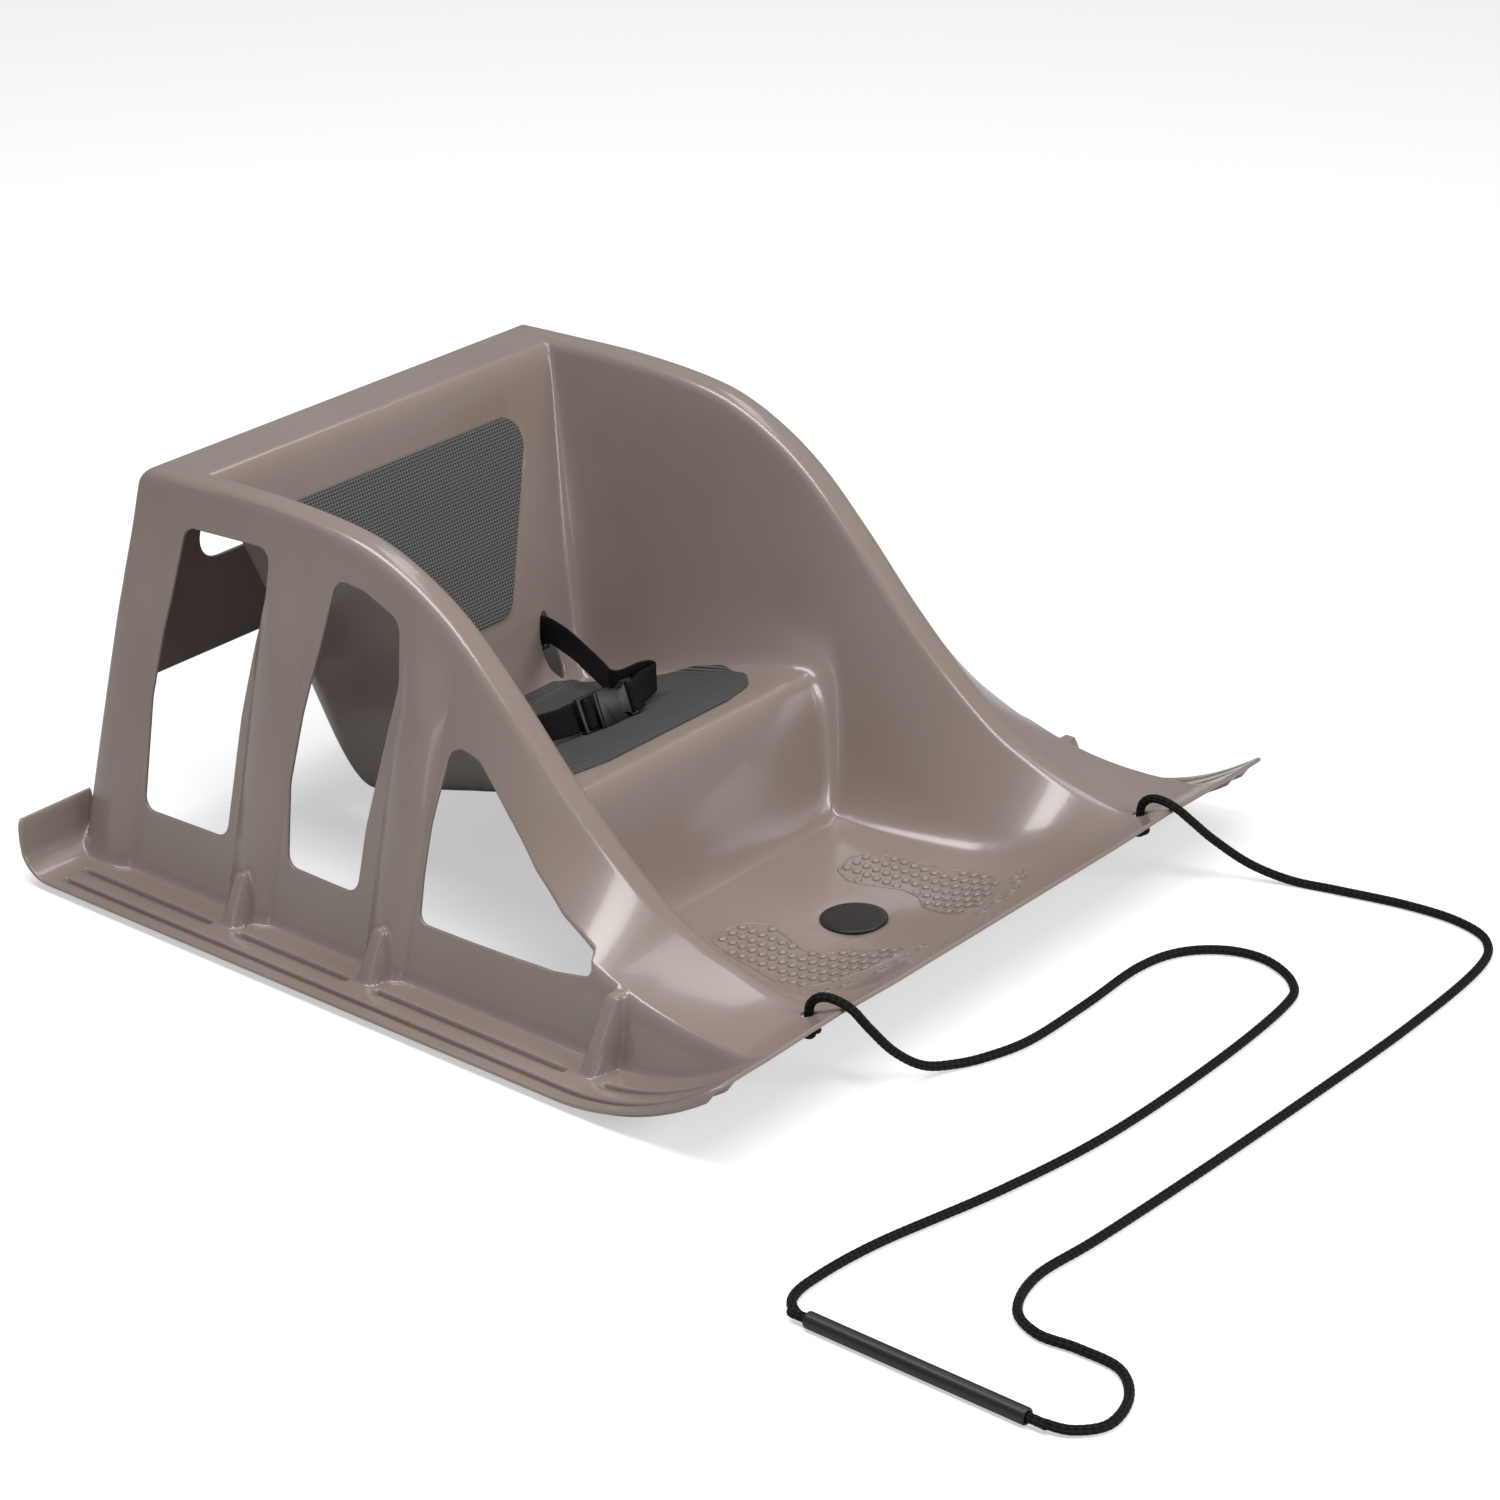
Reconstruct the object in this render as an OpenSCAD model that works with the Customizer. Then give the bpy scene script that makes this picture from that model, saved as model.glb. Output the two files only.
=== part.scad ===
// Baby pull sled: a one-piece moulded tub seat on a flanged base, two thin mats,
// a two-strap belt with a side-release buckle, a bare badge disc and a pull rope
// with a tube handle. Millimetres, +Z up, the front faces -Y.

/* [Shell] */
// Wall thickness of the moulding
wall = 3; // [2.6:0.2:3.4]
// Height of the rear rim of the tub
tub_h = 267; // [262:1:272]
// Height of the flange's top face above the ground
foot_z = 8; // [7.6:0.2:8.4]
// Half of the overall width
half_w = 290; // [286:1:294]
// Diameter of the two rope holes in the nose
rope_hole_d = 9; // [8:0.5:10]

/* [Mats] */
// Thickness of the two mats
mat_t = 2.6; // [2.2:0.2:3]
// Depth of the mat recesses in the shell
mat_recess = 1.2; // [0.8:0.2:1.4]

/* [Belt] */
// Width of the webbing
strap_w = 20; // [18:0.5:21]
// Thickness of the webbing
strap_t = 1.4; // [1.2:0.1:1.6]
// Width of the slots that the webbing passes through
slot_w = 4.5; // [4:0.5:5.5]
// Outside width of the buckle
buckle_w = 24; // [24:0.5:26]

/* [Badge] */
// Diameter of the bare badge disc
badge_d = 44; // [40:1:48]
// Thickness of the badge disc
badge_t = 2; // [1.6:0.2:2.4]

/* [Rope] */
// Diameter of the pull rope
rope_d = 6; // [5:0.5:6]
// Outside diameter of the tube handle
handle_d = 10; // [9.6:0.2:10.4]
// Length of the tube handle
handle_l = 146; // [130:2:150]
// Diameter of the stopper knots
knot_d = 14; // [12.5:0.5:14.5]

/* [Hidden] */
$fn = 48;
fit = 0.3;              // clearance between pieces that move or are soft
rail_out = 174.5;       // where the rail starts to roll over outwards
rail_in = 170;          // where the rail starts to roll over inwards
rail_r = 10;            // radius of both rolls
edge_x = 256;           // the flange is a plain strip outside this line
front_y = -293.2;
rear_y = 292;
box_y = 295;            // both ends of the moulding, wall thickness included
hole = [173, -272];     // rope hole centre
groove_x = [262, 279];
k_tub = tub_h / 267;
// Height of the rail's top along the sled
rail_pts = [[-292, 56], [-272, 48.5], [-250, 49], [-220, 55], [-190, 65], [-160, 79], [-120, 109],
  [-80, 146], [-40, 188], [0, 225], [40, 249], [80, 262], [150, 267], [225, 265], [290, 262]];
// Half-round posts in the outer walls: position and half width
posts = [[262, 22], [131, 20], [11, 18]];

function smin(a, b, k) = let(h = max(k - abs(a - b), 0) / k) min(a, b) - h * h * k / 4;
function smax(a, b, k) = -smin(-a, -b, k);
function ease(t) = let(c = max(0, min(1, t))) c * c * (3 - 2 * c);
function slope(p, i) = i == 0 ? (p[1][1] - p[0][1]) / (p[1][0] - p[0][0])
  : i == len(p) - 1 ? (p[i][1] - p[i - 1][1]) / (p[i][0] - p[i - 1][0])
  : (p[i + 1][1] - p[i - 1][1]) / (p[i + 1][0] - p[i - 1][0]);
function seg(p, y, i = 0) = (i >= len(p) - 2 || y <= p[i + 1][0]) ? i : seg(p, y, i + 1);
// Smooth curve through points, by cubic pieces with matched slopes
function curve(p, y) = let(i = seg(p, y), h = p[i + 1][0] - p[i][0], t = (y - p[i][0]) / h,
    m = slope(p, i) * h, n = slope(p, i + 1) * h)
  (2 * t * t * t - 3 * t * t + 1) * p[i][1] + (t * t * t - 2 * t * t + t) * m
  + (3 * t * t - 2 * t * t * t) * p[i + 1][1] + (t * t * t - t * t) * n;
// Fall of a wall that starts flat, rolls over a radius r and goes on at slope m
function drop(t, r, m) = let(tm = r * m / sqrt(1 + m * m))
  t <= 0 ? 0 : t < tm ? r - sqrt(r * r - t * t) : r - r / sqrt(1 + m * m) + m * (t - tm);

// The nose rises in front of y = -172
function nose(y) = 0.00325 * pow(max(0, -172 - y), 2);
function cap(y) = curve(rail_pts, y) * (y > -60 ? k_tub : 1 + (k_tub - 1) * ease((y + 160) / 100));
function foot(y) = foot_z + nose(y);
// Rear lip of the flange curls up beside the corner post
function curl(y) = let(t = y - 267) t <= 0 ? 0 : t < 20 ? 22 - sqrt(484 - t * t) : 12.8 + (t - 20) * 4.64;
seat_tilt = 17.22;
back_lean = 17.54;
function seat_z(y) = 91.5 - 0.31 * y;
function back_z(y) = 62 + (y - 161) / 0.316;
function centre(y) = let(seat = smin(seat_z(y), 96, 6), riser = 10 + (y + 68) * 3.2)
  smax(foot(y), smax(smin(riser, seat, 30), back_z(y), 40), 26);
function bulge(y) = let(b = [for (p = posts) abs(y - p[0]) < p[1] ? sqrt(1 - pow((y - p[0]) / p[1], 2)) : 0])
  7 * max(b);
// Slope of the outer wall where it is highest; its lower part keeps this slope all along the sled
wall_slope = (262 * k_tub - foot_z) / 57.5;
function tub(ax, y) = let(c = cap(y), f = foot(y),
    mi = max(0.02, (c - f) / 52),
    mo = max(0.02, wall_slope * pow(max(0, c - f) / (262 * k_tub - foot_z), 1.81)),
    mid = smin(centre(y), 262 * k_tub, 20),
    inner = c - drop(rail_in - ax, rail_r, mi),
    basin = min(c, smax(mid, inner, max(0.01, min(70, 0.28 * (c - f), 0.5 * (c - max(mid, inner)))))),
    stand = bulge(y) * ease((ax - 184) / 26),
    side = smin(c - drop(ax - rail_out - stand, rail_r, mo), f + (240.2 + stand - ax) * wall_slope,
      max(0.01, 24 * (1 - mo / wall_slope))),
    rear = c - drop(y - 261, rail_r, 14),
    outer = smin(side, rear, max(0.01, min(110, 1.5 * (c - min(side, rear))))))
  min(basin, outer);
function top(x, y) = let(ax = abs(x)) ax < 200 ? max(tub(ax, y), foot(y))
  : smax(tub(ax, y), foot(y) + (ax > 223 ? curl(y) : 0), max(0.01, min(14, 0.3 * (cap(y) - foot(y)))));
function unit(v) = v / norm(v);
function normal_at(x, y) = let(e = 0.5)
  unit([top(x - e, y) - top(x + e, y), top(x, y - e) - top(x, y + e), 2 * e]);

half_x = [0, 85, 98, 106, 113, 120, 128, 137, 146, 154, 160.25, 163, 166.5, 170, 174.5, 178.7, 182.2,
  184.25, 191, 200, 214, 224, 231, 238, 241, 244, edge_x];
xs = [for (i = [len(half_x) - 1:-1:1]) -half_x[i], for (x = half_x) x];
ys = [front_y, -284, -272, -258, -240, -218, -192, -165, -135, -105, -85, -74, -68, -62, -54, -47, -41, -35,
  -28, -18, -7, -3.5, 2, 11, 20, 25.5, 29, 45, 70, 95, 111, 115, 121, 131, 141, 147, 151, 155, 160, 167, 180,
  198, 212, 218, 221.5, 225, 229, 240, 244, 251, 261, 265.2, 268.7, 270.9, 277, 283, 286.5, 289, rear_y];
nx = len(xs);
ny = len(ys);
top_pts = [for (y = ys) for (x = xs) [x, y, top(x, y)]];
low_pts = [for (y = ys) for (x = xs) [x, y, top(x, y)] - wall * normal_at(x, y)];
q = nx * ny;
skin_faces = concat(
  [for (j = [0:ny - 2]) for (i = [0:nx - 2]) let(a = j * nx + i)
    each [[a, a + nx, a + nx + 1], [a, a + nx + 1, a + 1]]],
  [for (j = [0:ny - 2]) for (i = [0:nx - 2]) let(a = q + j * nx + i)
    each [[a, a + nx + 1, a + nx], [a, a + 1, a + nx + 1]]],
  [for (i = [0:nx - 2]) let(a = i, b = q + i) each [[a, a + 1, b + 1], [a, b + 1, b]]],
  [for (i = [0:nx - 2]) let(a = (ny - 1) * nx + i, b = a + q) each [[a, b + 1, a + 1], [a, b, b + 1]]],
  [for (j = [0:ny - 2]) let(a = j * nx, b = a + q) each [[a, b + nx, a + nx], [a, b, b + nx]]],
  [for (j = [0:ny - 2]) let(a = j * nx + nx - 1, b = a + q) each [[a, a + nx, b + nx], [a, b + nx, b]]]);

// A flat outline with its corners rounded by true circles; radius 0 leaves a corner as it is
module rounded(p, r) {
  n = len(p);
  rr = is_list(r) ? r : [for (i = [0:n - 1]) r];
  a = [for (i = [0:n - 1]) unit(p[(i + n - 1) % n] - p[i])];
  b = [for (i = [0:n - 1]) unit(p[(i + 1) % n] - p[i])];
  h = [for (i = [0:n - 1]) acos(a[i] * b[i]) / 2];
  polygon([for (i = [0:n - 1]) each rr[i] == 0 ? [p[i]]
    : [p[i] + a[i] * rr[i] / tan(h[i]), p[i] + b[i] * rr[i] / tan(h[i])]]);
  for (i = [0:n - 1]) if (rr[i] > 0) translate(p[i] + unit(a[i] + b[i]) * rr[i] / sin(h[i])) circle(rr[i]);
}
// Places a shape on the seat plane, or on the back plane with its height measured up the back
module on_seat(x, y) translate([x, y, seat_z(y)]) rotate([-seat_tilt, 0, 0]) children();
module on_back(s) translate([0, 161, 62]) rotate([90 - back_lean, 0, 0]) translate([0, s, 0]) children();
// Extrudes an outline drawn in Y and Z along X, from x0 to x1
module along_x(x0, x1) translate([x0, 0, 0]) rotate([90, 0, 90]) linear_extrude(x1 - x0) children();
module both_sides() {
  children();
  mirror([1, 0, 0]) children();
}

// Outer strip of the flange, and the rib that backs each groove
function lip(y) = [y, foot(y) + curl(y)];
module flange_strip() along_x(edge_x, half_w) polygon(concat([for (y = ys) lip(y)],
  [for (i = [ny - 1:-1:0]) let(n = normal_at(edge_x, ys[i])) lip(ys[i]) - wall * [n[1], n[2]]]));
run_y = [front_y + 6, -284, -272, -258, -240, -218, -192, -165, 255];
module runner_rib(x) along_x(x - 4, x + 4) polygon(concat(
  [for (y = run_y) [y, foot(y) - wall / 2]], [for (i = [8:-1:0]) [run_y[i], foot(run_y[i]) - foot_z]]));
module runner_groove(x, y0, y1) along_x(x - 2.2, x + 2.2) polygon(concat(
  [for (y = run_y) if (y > y0 && y < y1) each [[y, foot(y) + 9]]], [[y1, foot(y1) + 9], [y1, foot(y1) - 5]],
  [for (i = [8:-1:0]) if (run_y[i] > y0 && run_y[i] < y1) [run_y[i], foot(run_y[i]) - 5]],
  [[y0, foot(y0) - 5], [y0, foot(y0) + 9]]));

win_rear = [[159.5, 50.5], [235, 49], [238.3, 121], [234.7, 164], [225, 235], [150, 239], [148.5, 210],
  [153, 180], [158, 130]];
win_mid = [[43, 48.5], [104, 49], [110, 100], [106, 145], [91, 235], [68, 233], [38, 221], [32, 184],
  [37, 134], [42, 92]];
win_front = [[-11, 46.5], [-9.8, 75], [-10.2, 108], [-14, 158], [-34, 151], [-61, 124], [-88, 98.5],
  [-115, 79.5], [-143, 66], [-150, 54], [-120, 49], [-56, 47]];
back_mat = [[-112, 175], [-112, 152], [-60, 44], [60, 44], [112, 152], [112, 175]];
seat_mat = [[-96, 10], [-92, -12], [92, -12], [96, 10], [92, 38], [56, 140], [-56, 140], [-92, 38]];
function grown(p, d) = [for (v = p) [v[0] + sign(v[0]) * d, v[1] + (v[1] > 60 ? d : -d)]];

module gusset(y, foot_x) {
  w = 17;
  low = y > -100;
  zt = foot(y) + (low ? 32 : 44);
  translate([0, y + w / 2, 0]) rotate([90, 0, 0]) linear_extrude(w)
    polygon([[foot_x, foot(y) - 1.5], [262, foot(y) - 1.5], [foot_x - (low ? 1 : 2), zt],
      [foot_x - (low ? 6 : 10), zt]]);
}

// One moulding: tub, seat, footwell, outer walls, flange with two grooves a side
module body_shell() color([0.29, 0.23, 0.20]) difference() {
  union() {
    polyhedron(points = concat(top_pts, low_pts), faces = skin_faces);
    both_sides() {
      flange_strip();
      for (x = groove_x) runner_rib(x);
      gusset(131, 247);
      gusset(11, 247);
      gusset(-172, 238);
    }
  }
  // runner grooves, the inner one broken at each gusset
  both_sides() {
    runner_groove(279, front_y + 8, 262);
    runner_groove(262, front_y + 8, -186);
    runner_groove(262, -158, 0);
    runner_groove(262, 22, 120);
    runner_groove(262, 142, 262);
    // side windows
    along_x(176, 262) rounded(win_rear, [9, 9, 0, 0, 9, 10, 0, 0, 0]);
    along_x(176, 262) rounded(win_mid, [9, 9, 0, 0, 10, 10, 12, 0, 0, 0]);
    along_x(176, 262) rounded(win_front, [7, 0, 0, 8, 8, 0, 0, 0, 5, 4, 0, 0]);
    // outer corners of the flange
    translate([half_w, -box_y, -5]) rotate([0, 0, 90]) corner_cut(12, 80);
    translate([half_w, box_y, -5]) rotate([0, 0, 180]) corner_cut(5, 80);
    // rope hole
    translate([hole[0], hole[1], 20]) cylinder(d = rope_hole_d, h = 60);
    // belt slot
    on_back(belt_s - 11) translate([belt_x - slot_w / 2, -25, -12]) cube([slot_w, 52, 30]);
  }
  // nothing hangs below the floor or behind the rear panel between the flanges
  translate([-224, front_y - 5, -90]) cube([448, 600, 90 + foot_z - wall - 0.5]);
  translate([-224, 289.5, -1]) cube([448, 20, 300]);
  // open back under the rear panel, and the grab slot
  translate([-188, 262, -50]) cube([376, 50, 162]);
  translate([0, 300, 197]) rotate([90, 0, 0]) linear_extrude(38)
    rounded([[-132, -17], [132, -17], [132, 17], [-132, 17]], 16);
  // mat recesses and the badge seat
  on_back(0) translate([0, 0, -mat_recess]) linear_extrude(20) rounded(grown(back_mat, 2), 18);
  on_seat(0, 0) translate([0, 0, -mat_recess]) linear_extrude(9) rounded(seat_mat_out(2), seat_mat_r);
  on_floor() translate([0, 0, -0.8]) cylinder(d = badge_d + 2 * fit, h = 6, $fn = 96);
}
seat_mat_r = [0, 14, 14, 0, 20, 16, 16, 20];
function seat_mat_out(d) = [for (v = seat_mat)
  [v[0] + sign(v[0]) * d, v[1] + (v[1] > 60 ? d : v[1] < -5 ? -d : 0)]];
module corner_cut(r, h) difference() {
  translate([-1, -1, 0]) cube([r + 1, r + 1, h]);
  translate([r, r, -1]) cylinder(r = r, h = h + 2);
}
module on_floor() translate([0, -171.6, foot_z + 0.5]) rotate([-3.5, 0, 0]) children();

// Thin mats glued in their recesses
module back_pad() color([0.09, 0.09, 0.09]) on_back(0) translate([0, 0, fit - mat_recess])
  linear_extrude(mat_t) rounded(back_mat, 18);
module seat_pad() color([0.09, 0.09, 0.09]) on_seat(0, 0) translate([0, 0, fit - mat_recess])
  linear_extrude(mat_t) rounded(seat_mat, seat_mat_r);
module badge_disc() color([0.01, 0.01, 0.01]) on_floor() translate([0, 0, -0.8])
  cylinder(d = badge_d, h = badge_t, $fn = 96);

// Buckle frame: x along the belt towards the socket, y up the webbing, z out of the front face
buckle_at = [6, 37.5, 95];
buckle_turn = [68, -2.8, -9];
module at_buckle() translate(buckle_at) rotate(buckle_turn) children();
bt = 8;
mouth_x = -7.7;
module plate(x0, x1, w, z0, z1) translate([x0, -w / 2, z0]) cube([x1 - x0, w, z1 - z0]);
module buckle_plug() color([0.02, 0.02, 0.02]) at_buckle() {
  difference() {
    union() {
      plate(mouth_x - 2.7, mouth_x - fit, buckle_w, -bt, 0);
      plate(-23, mouth_x - 2, buckle_w, -6.8, -2.2);
    }
    plate(-20.2, -10.6, strap_w + 1.2, -9, 1);
    for (s = [-1, 1]) translate([mouth_x + 0.9, s * 6.4, -9]) cylinder(d = 3.4, h = 10);
  }
  plate(-16.4, -13.4, strap_w + 2.4, -5.6, -3.2);
  plate(mouth_x - 1, 7, 4.4, -6, -2);
}
module latch_arm() translate([0, 0, -6]) linear_extrude(4) {
  translate([mouth_x + 0.9, 6.4]) circle(d = 2.8);
  polygon([[mouth_x + 0.9, 5], [10, 5.6], [13.4, 6.6], [13.2, 8.4], [9, 9.3], [5.5, 8.9], [4, 7.6],
    [mouth_x + 0.9, 7.8]]);
}
module buckle_arm_upper() color([0.02, 0.02, 0.02]) at_buckle() latch_arm();
module buckle_arm_lower() color([0.02, 0.02, 0.02]) at_buckle() mirror([0, 1, 0]) latch_arm();
module buckle_socket() color([0.02, 0.02, 0.02]) at_buckle() difference() {
  union() {
    plate(mouth_x, 15.5, buckle_w, -bt, 0);
    plate(14, 23, buckle_w, -6.4, -1.6);
  }
  plate(mouth_x - 1, 13.9, 19.2, -6.4, -1.6);
  for (s = [-1, 1]) translate([9.6, s * (buckle_w / 2 + 3.6), -9]) cylinder(r = 7.8, h = 10);
  plate(16.4, 19.8, strap_w + 1.2, -9, 1);
}

// A flat band swept through stations of [point, direction of its width]
function station(s, i, w, t) = let(n = len(s), a = s[max(0, i - 1)][0], b = s[min(n - 1, i + 1)][0],
    g = unit(b - a), u0 = s[i][1], u = unit(u0 - (u0 * g) * g), c = cross(g, u))
  [for (v = [[-1, -1], [1, -1], [1, 1], [-1, 1]]) s[i][0] + v[0] * w / 2 * u + v[1] * t / 2 * c];
module band(s, w, t) {
  n = len(s);
  polyhedron(points = [for (i = [0:n - 1]) each station(s, i, w, t)], faces = concat([[0, 1, 2], [0, 2, 3]],
    [for (i = [0:n - 2]) for (k = [0:3]) let(a = 4 * i + k, b = 4 * i + (k + 1) % 4)
      each [[a, a + 4, b + 4], [a, b + 4, b]]],
    [[4 * n - 4, 4 * n - 2, 4 * n - 3], [4 * n - 4, 4 * n - 1, 4 * n - 2]]));
}
// Buckle coordinates turned into sled coordinates, along the belt and out of the front face
function spin(v, a, i, j) = [for (k = [0:2]) k == i ? v[i] * cos(a) - v[j] * sin(a)
  : k == j ? v[i] * sin(a) + v[j] * cos(a) : v[k]];
function bk(x, z) = buckle_at + spin(spin(spin([x, 0, z], buckle_turn[0], 1, 2), buckle_turn[1], 2, 0),
  buckle_turn[2], 0, 1);
// Back plane coordinates: across, up the back, out of it
function bp(x, s, n) = [x, 161 + s * sin(back_lean) - n * cos(back_lean),
  62 + s * cos(back_lean) + n * sin(back_lean)];
belt_s = 25;            // height of the belt's exits up the back plane
belt_x = 87;            // and their distance from the middle
up_v = [0.06, 0.37, 0.93];
up_z = [0, 0.05, 1];
up_b = [0, 0.301, 0.954];
left_stations = [
  [bp(belt_x, belt_s, -8), up_b], [bp(belt_x, belt_s, -2), up_b], [bp(belt_x, belt_s, 4), up_b],
  [[84.5, 152, 86.5], up_z],
  [[78, 134, 86.5], up_z], [[67, 112, 87], up_z], [[55, 91, 89], up_z], [[45, 75, 91], up_z],
  [[39.5, 67, 92], up_z], [[39, 61.5, 92.5], up_z], [[43, 58.5, 92.8], up_z], [[51, 57.5, 93], up_z],
  [[58, 57, 93], up_z], [[64, 55, 93], up_z], [[66, 51, 93], up_z], [[63.5, 47.3, 93.2], up_z],
  [[55, 44.8, 93.6], [0.03, 0.2, 0.97]], [[44, 42.6, 93.8], up_v], [bk(28, -7.7), up_v], [bk(21, -7.8), up_v],
  [bk(18.9, -7), up_v], [bk(18, -4.8), up_v], [bk(18, -3), up_v], [bk(18.3, -1.4), up_v],
  [bk(20, -0.3), up_v],
  [bk(23, -0.3), up_v], [bk(25.5, -1.6), up_v], [bk(30, -4.2), up_v]];
right_stations = [
  [bp(-belt_x, belt_s, -8), up_b], [bp(-belt_x, belt_s, -2), up_b], [bp(-belt_x, belt_s, 4), up_b],
  [[-85, 140, 86.5], up_z],
  [[-79, 112, 86.5], up_z], [[-68, 84, 88], up_z], [[-53, 62, 90], up_z], [[-36, 50, 92], [0.03, 0.2, 0.97]],
  [bk(-28, -6.8), up_v], [bk(-22, -8.2), up_v], [bk(-19.4, -7.8), up_v], [bk(-18.5, -4.6), up_v],
  [bk(-17.8, -2.1), up_v], [bk(-15, -1.2), up_v], [bk(-12.4, -2.1), up_v], [bk(-11.8, -4.6), up_v],
  [bk(-12.2, -7.6), up_v], [bk(-15, -9.6), up_v], [bk(-20, -10.2), up_v], [bk(-30, -10.4), up_v]];
module strap_left() color([0.02, 0.02, 0.02]) band(left_stations, strap_w, strap_t);
module strap_right() color([0.02, 0.02, 0.02]) band(right_stations, strap_w, strap_t);

// Flat stops that hold the belt ends behind the slots
module stop_bar() on_back(belt_s) difference() {
  translate([belt_x - 5.5, -14, -wall - fit - 3]) cube([11, 28, 3]);
  translate([belt_x - strap_t / 2 - fit, -strap_w / 2 - fit, -12])
    cube([strap_t + 2 * fit, strap_w + 2 * fit, 12]);
}
module strap_stop_left() color([0.02, 0.02, 0.02]) stop_bar();
module strap_stop_right() color([0.02, 0.02, 0.02]) mirror([1, 0, 0]) stop_bar();

// Rope route: from the right-hand knot over the nose, round on the ground, through the handle and back
hz = handle_d / 2;
rz = rope_d / 2 + 0.1;
hx = -378;
hy = -434;
route = [
  [-173, -272, 38.5], [-173, -272, 50], [-172.8, -273.6, 56.1], [-172, -278.1, 60.6], [-170.5, -284.2, 62.2],
  [-168, -291.5, 60.6], [-165, -299, 56], [-159, -307, 44], [-143, -313, 24], [-124, -320, 9],
  [-104, -328, rz + 0.6], [-82, -338, rz], [-48, -346, rz], [10, -346, rz], [68, -344, rz], [102, -353, rz],
  [123, -375, rz], [127, -402, rz], [112, -430, rz], [84, -442, rz], [0, -448, rz], [-110, -447, rz],
  [-200, -435, rz], [-290, -415, rz], [-342, -410, rz], [-366, -414, rz + 0.6],
  [hx + 1.4, hy + 8, hz - 0.6], [hx, hy - 1, hz], [hx, hy - handle_l + 1, hz],
  [hx + 1.2, hy - handle_l - 9, hz - 0.6],
  [-371, -604, rz + 0.4], [-354, -615, rz], [-328, -609, rz], [-309, -590, rz], [-307, -562, rz],
  [-309, -536, rz], [-296, -514, rz], [-262, -503, rz], [-210, -507, rz], [-120, -511, rz], [0, -514, rz],
  [110, -515, rz], [200, -510, rz], [236, -496, rz], [249, -468, rz], [248, -430, rz], [238, -385, rz],
  [230, -354, rz + 0.4], [217, -330, 13], [199, -313, 32], [185, -304.5, 48], [178.5, -298.5, 56.5],
  [175.5, -291.5, 60.8], [174, -284.2, 62.2], [173.3, -278.1, 60.6], [173, -273.6, 56.1],
  [173, -272, 50], [173, -272, 38.5]];
// Some spans get a ring at their middle, on a curve through the points
function spline3(p, i, t) = let(n = len(p), a = p[max(0, i - 1)], b = p[i], c = p[min(n - 1, i + 1)],
    d = p[min(n - 1, i + 2)])
  0.5 * (2 * b + (c - a) * t + (2 * a - 5 * b + 4 * c - d) * t * t + (3 * b - a - 3 * c + d) * t * t * t);
bend_at = [7, 14, 15, 16, 17, 18, 24, 25, 29, 30, 31, 32, 33, 34, 35, 42, 43, 44, 48, 49];
rope_pts = [for (i = [0:len(route) - 2])
  each [route[i], for (k = bend_at) if (k == i) spline3(route, i, 0.5)], route[len(route) - 1]];
rope_sides = 10;
function ring(p, i, r) = let(n = len(p), g = unit(p[min(n - 1, i + 1)] - p[max(0, i - 1)]),
    s = unit(cross(g, abs(g[2]) > 0.8 ? [0, 1, 0] : [0, 0, 1])), u = cross(s, g))
  [for (k = [0:rope_sides - 1]) let(a = 36 * k + 18) p[i] + r * (cos(a) * s + sin(a) * u)];
module pull_rope() color([0.02, 0.02, 0.02]) {
  n = len(rope_pts);
  m = rope_sides;
  polyhedron(points = [for (i = [0:n - 1]) each ring(rope_pts, i, rope_d / 2)],
    faces = concat([[for (k = [m - 1:-1:0]) k]],
      [for (i = [0:n - 2]) for (k = [0:m - 1]) let(a = i * m + k, b = i * m + (k + 1) % m)
        each [[a, b + m, a + m], [a, b, b + m]]],
      [[for (k = [0:m - 1]) (n - 1) * m + k]]));
}
module knot() rotate_extrude() intersection() {
  difference() {
    translate([0, 0]) circle(d = knot_d);
    translate([0, knot_d / 2 - 1.6]) square([knot_d, knot_d]);
  }
  translate([0, -knot_d]) square([knot_d, 2 * knot_d]);
}
module rope_knot_left() color([0.02, 0.02, 0.02]) translate([hole[0], hole[1], 38.5]) knot();
module rope_knot_right() color([0.02, 0.02, 0.02]) translate([-hole[0], hole[1], 38.5]) knot();
module pull_handle() color([0.02, 0.02, 0.02]) translate([hx, hy, hz]) rotate([90, 0, 0]) difference() {
  cylinder(d = handle_d, h = handle_l);
  translate([0, 0, -1]) cylinder(d = rope_d + 2 * fit, h = handle_l + 2);
}

body_shell();
back_pad();
seat_pad();
badge_disc();
strap_left();
strap_right();
buckle_socket();
buckle_plug();
buckle_arm_upper();
buckle_arm_lower();
strap_stop_left();
strap_stop_right();
pull_rope();
rope_knot_left();
rope_knot_right();
pull_handle();
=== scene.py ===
"""Baby pull sled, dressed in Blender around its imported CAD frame.

Lengths are worked out in millimetres, as in the part's source, and go into the meshes in metres.
"""

import logging
import math
from dataclasses import dataclass, field
from enum import Enum
from typing import Callable, ClassVar, Sequence, Union

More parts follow.
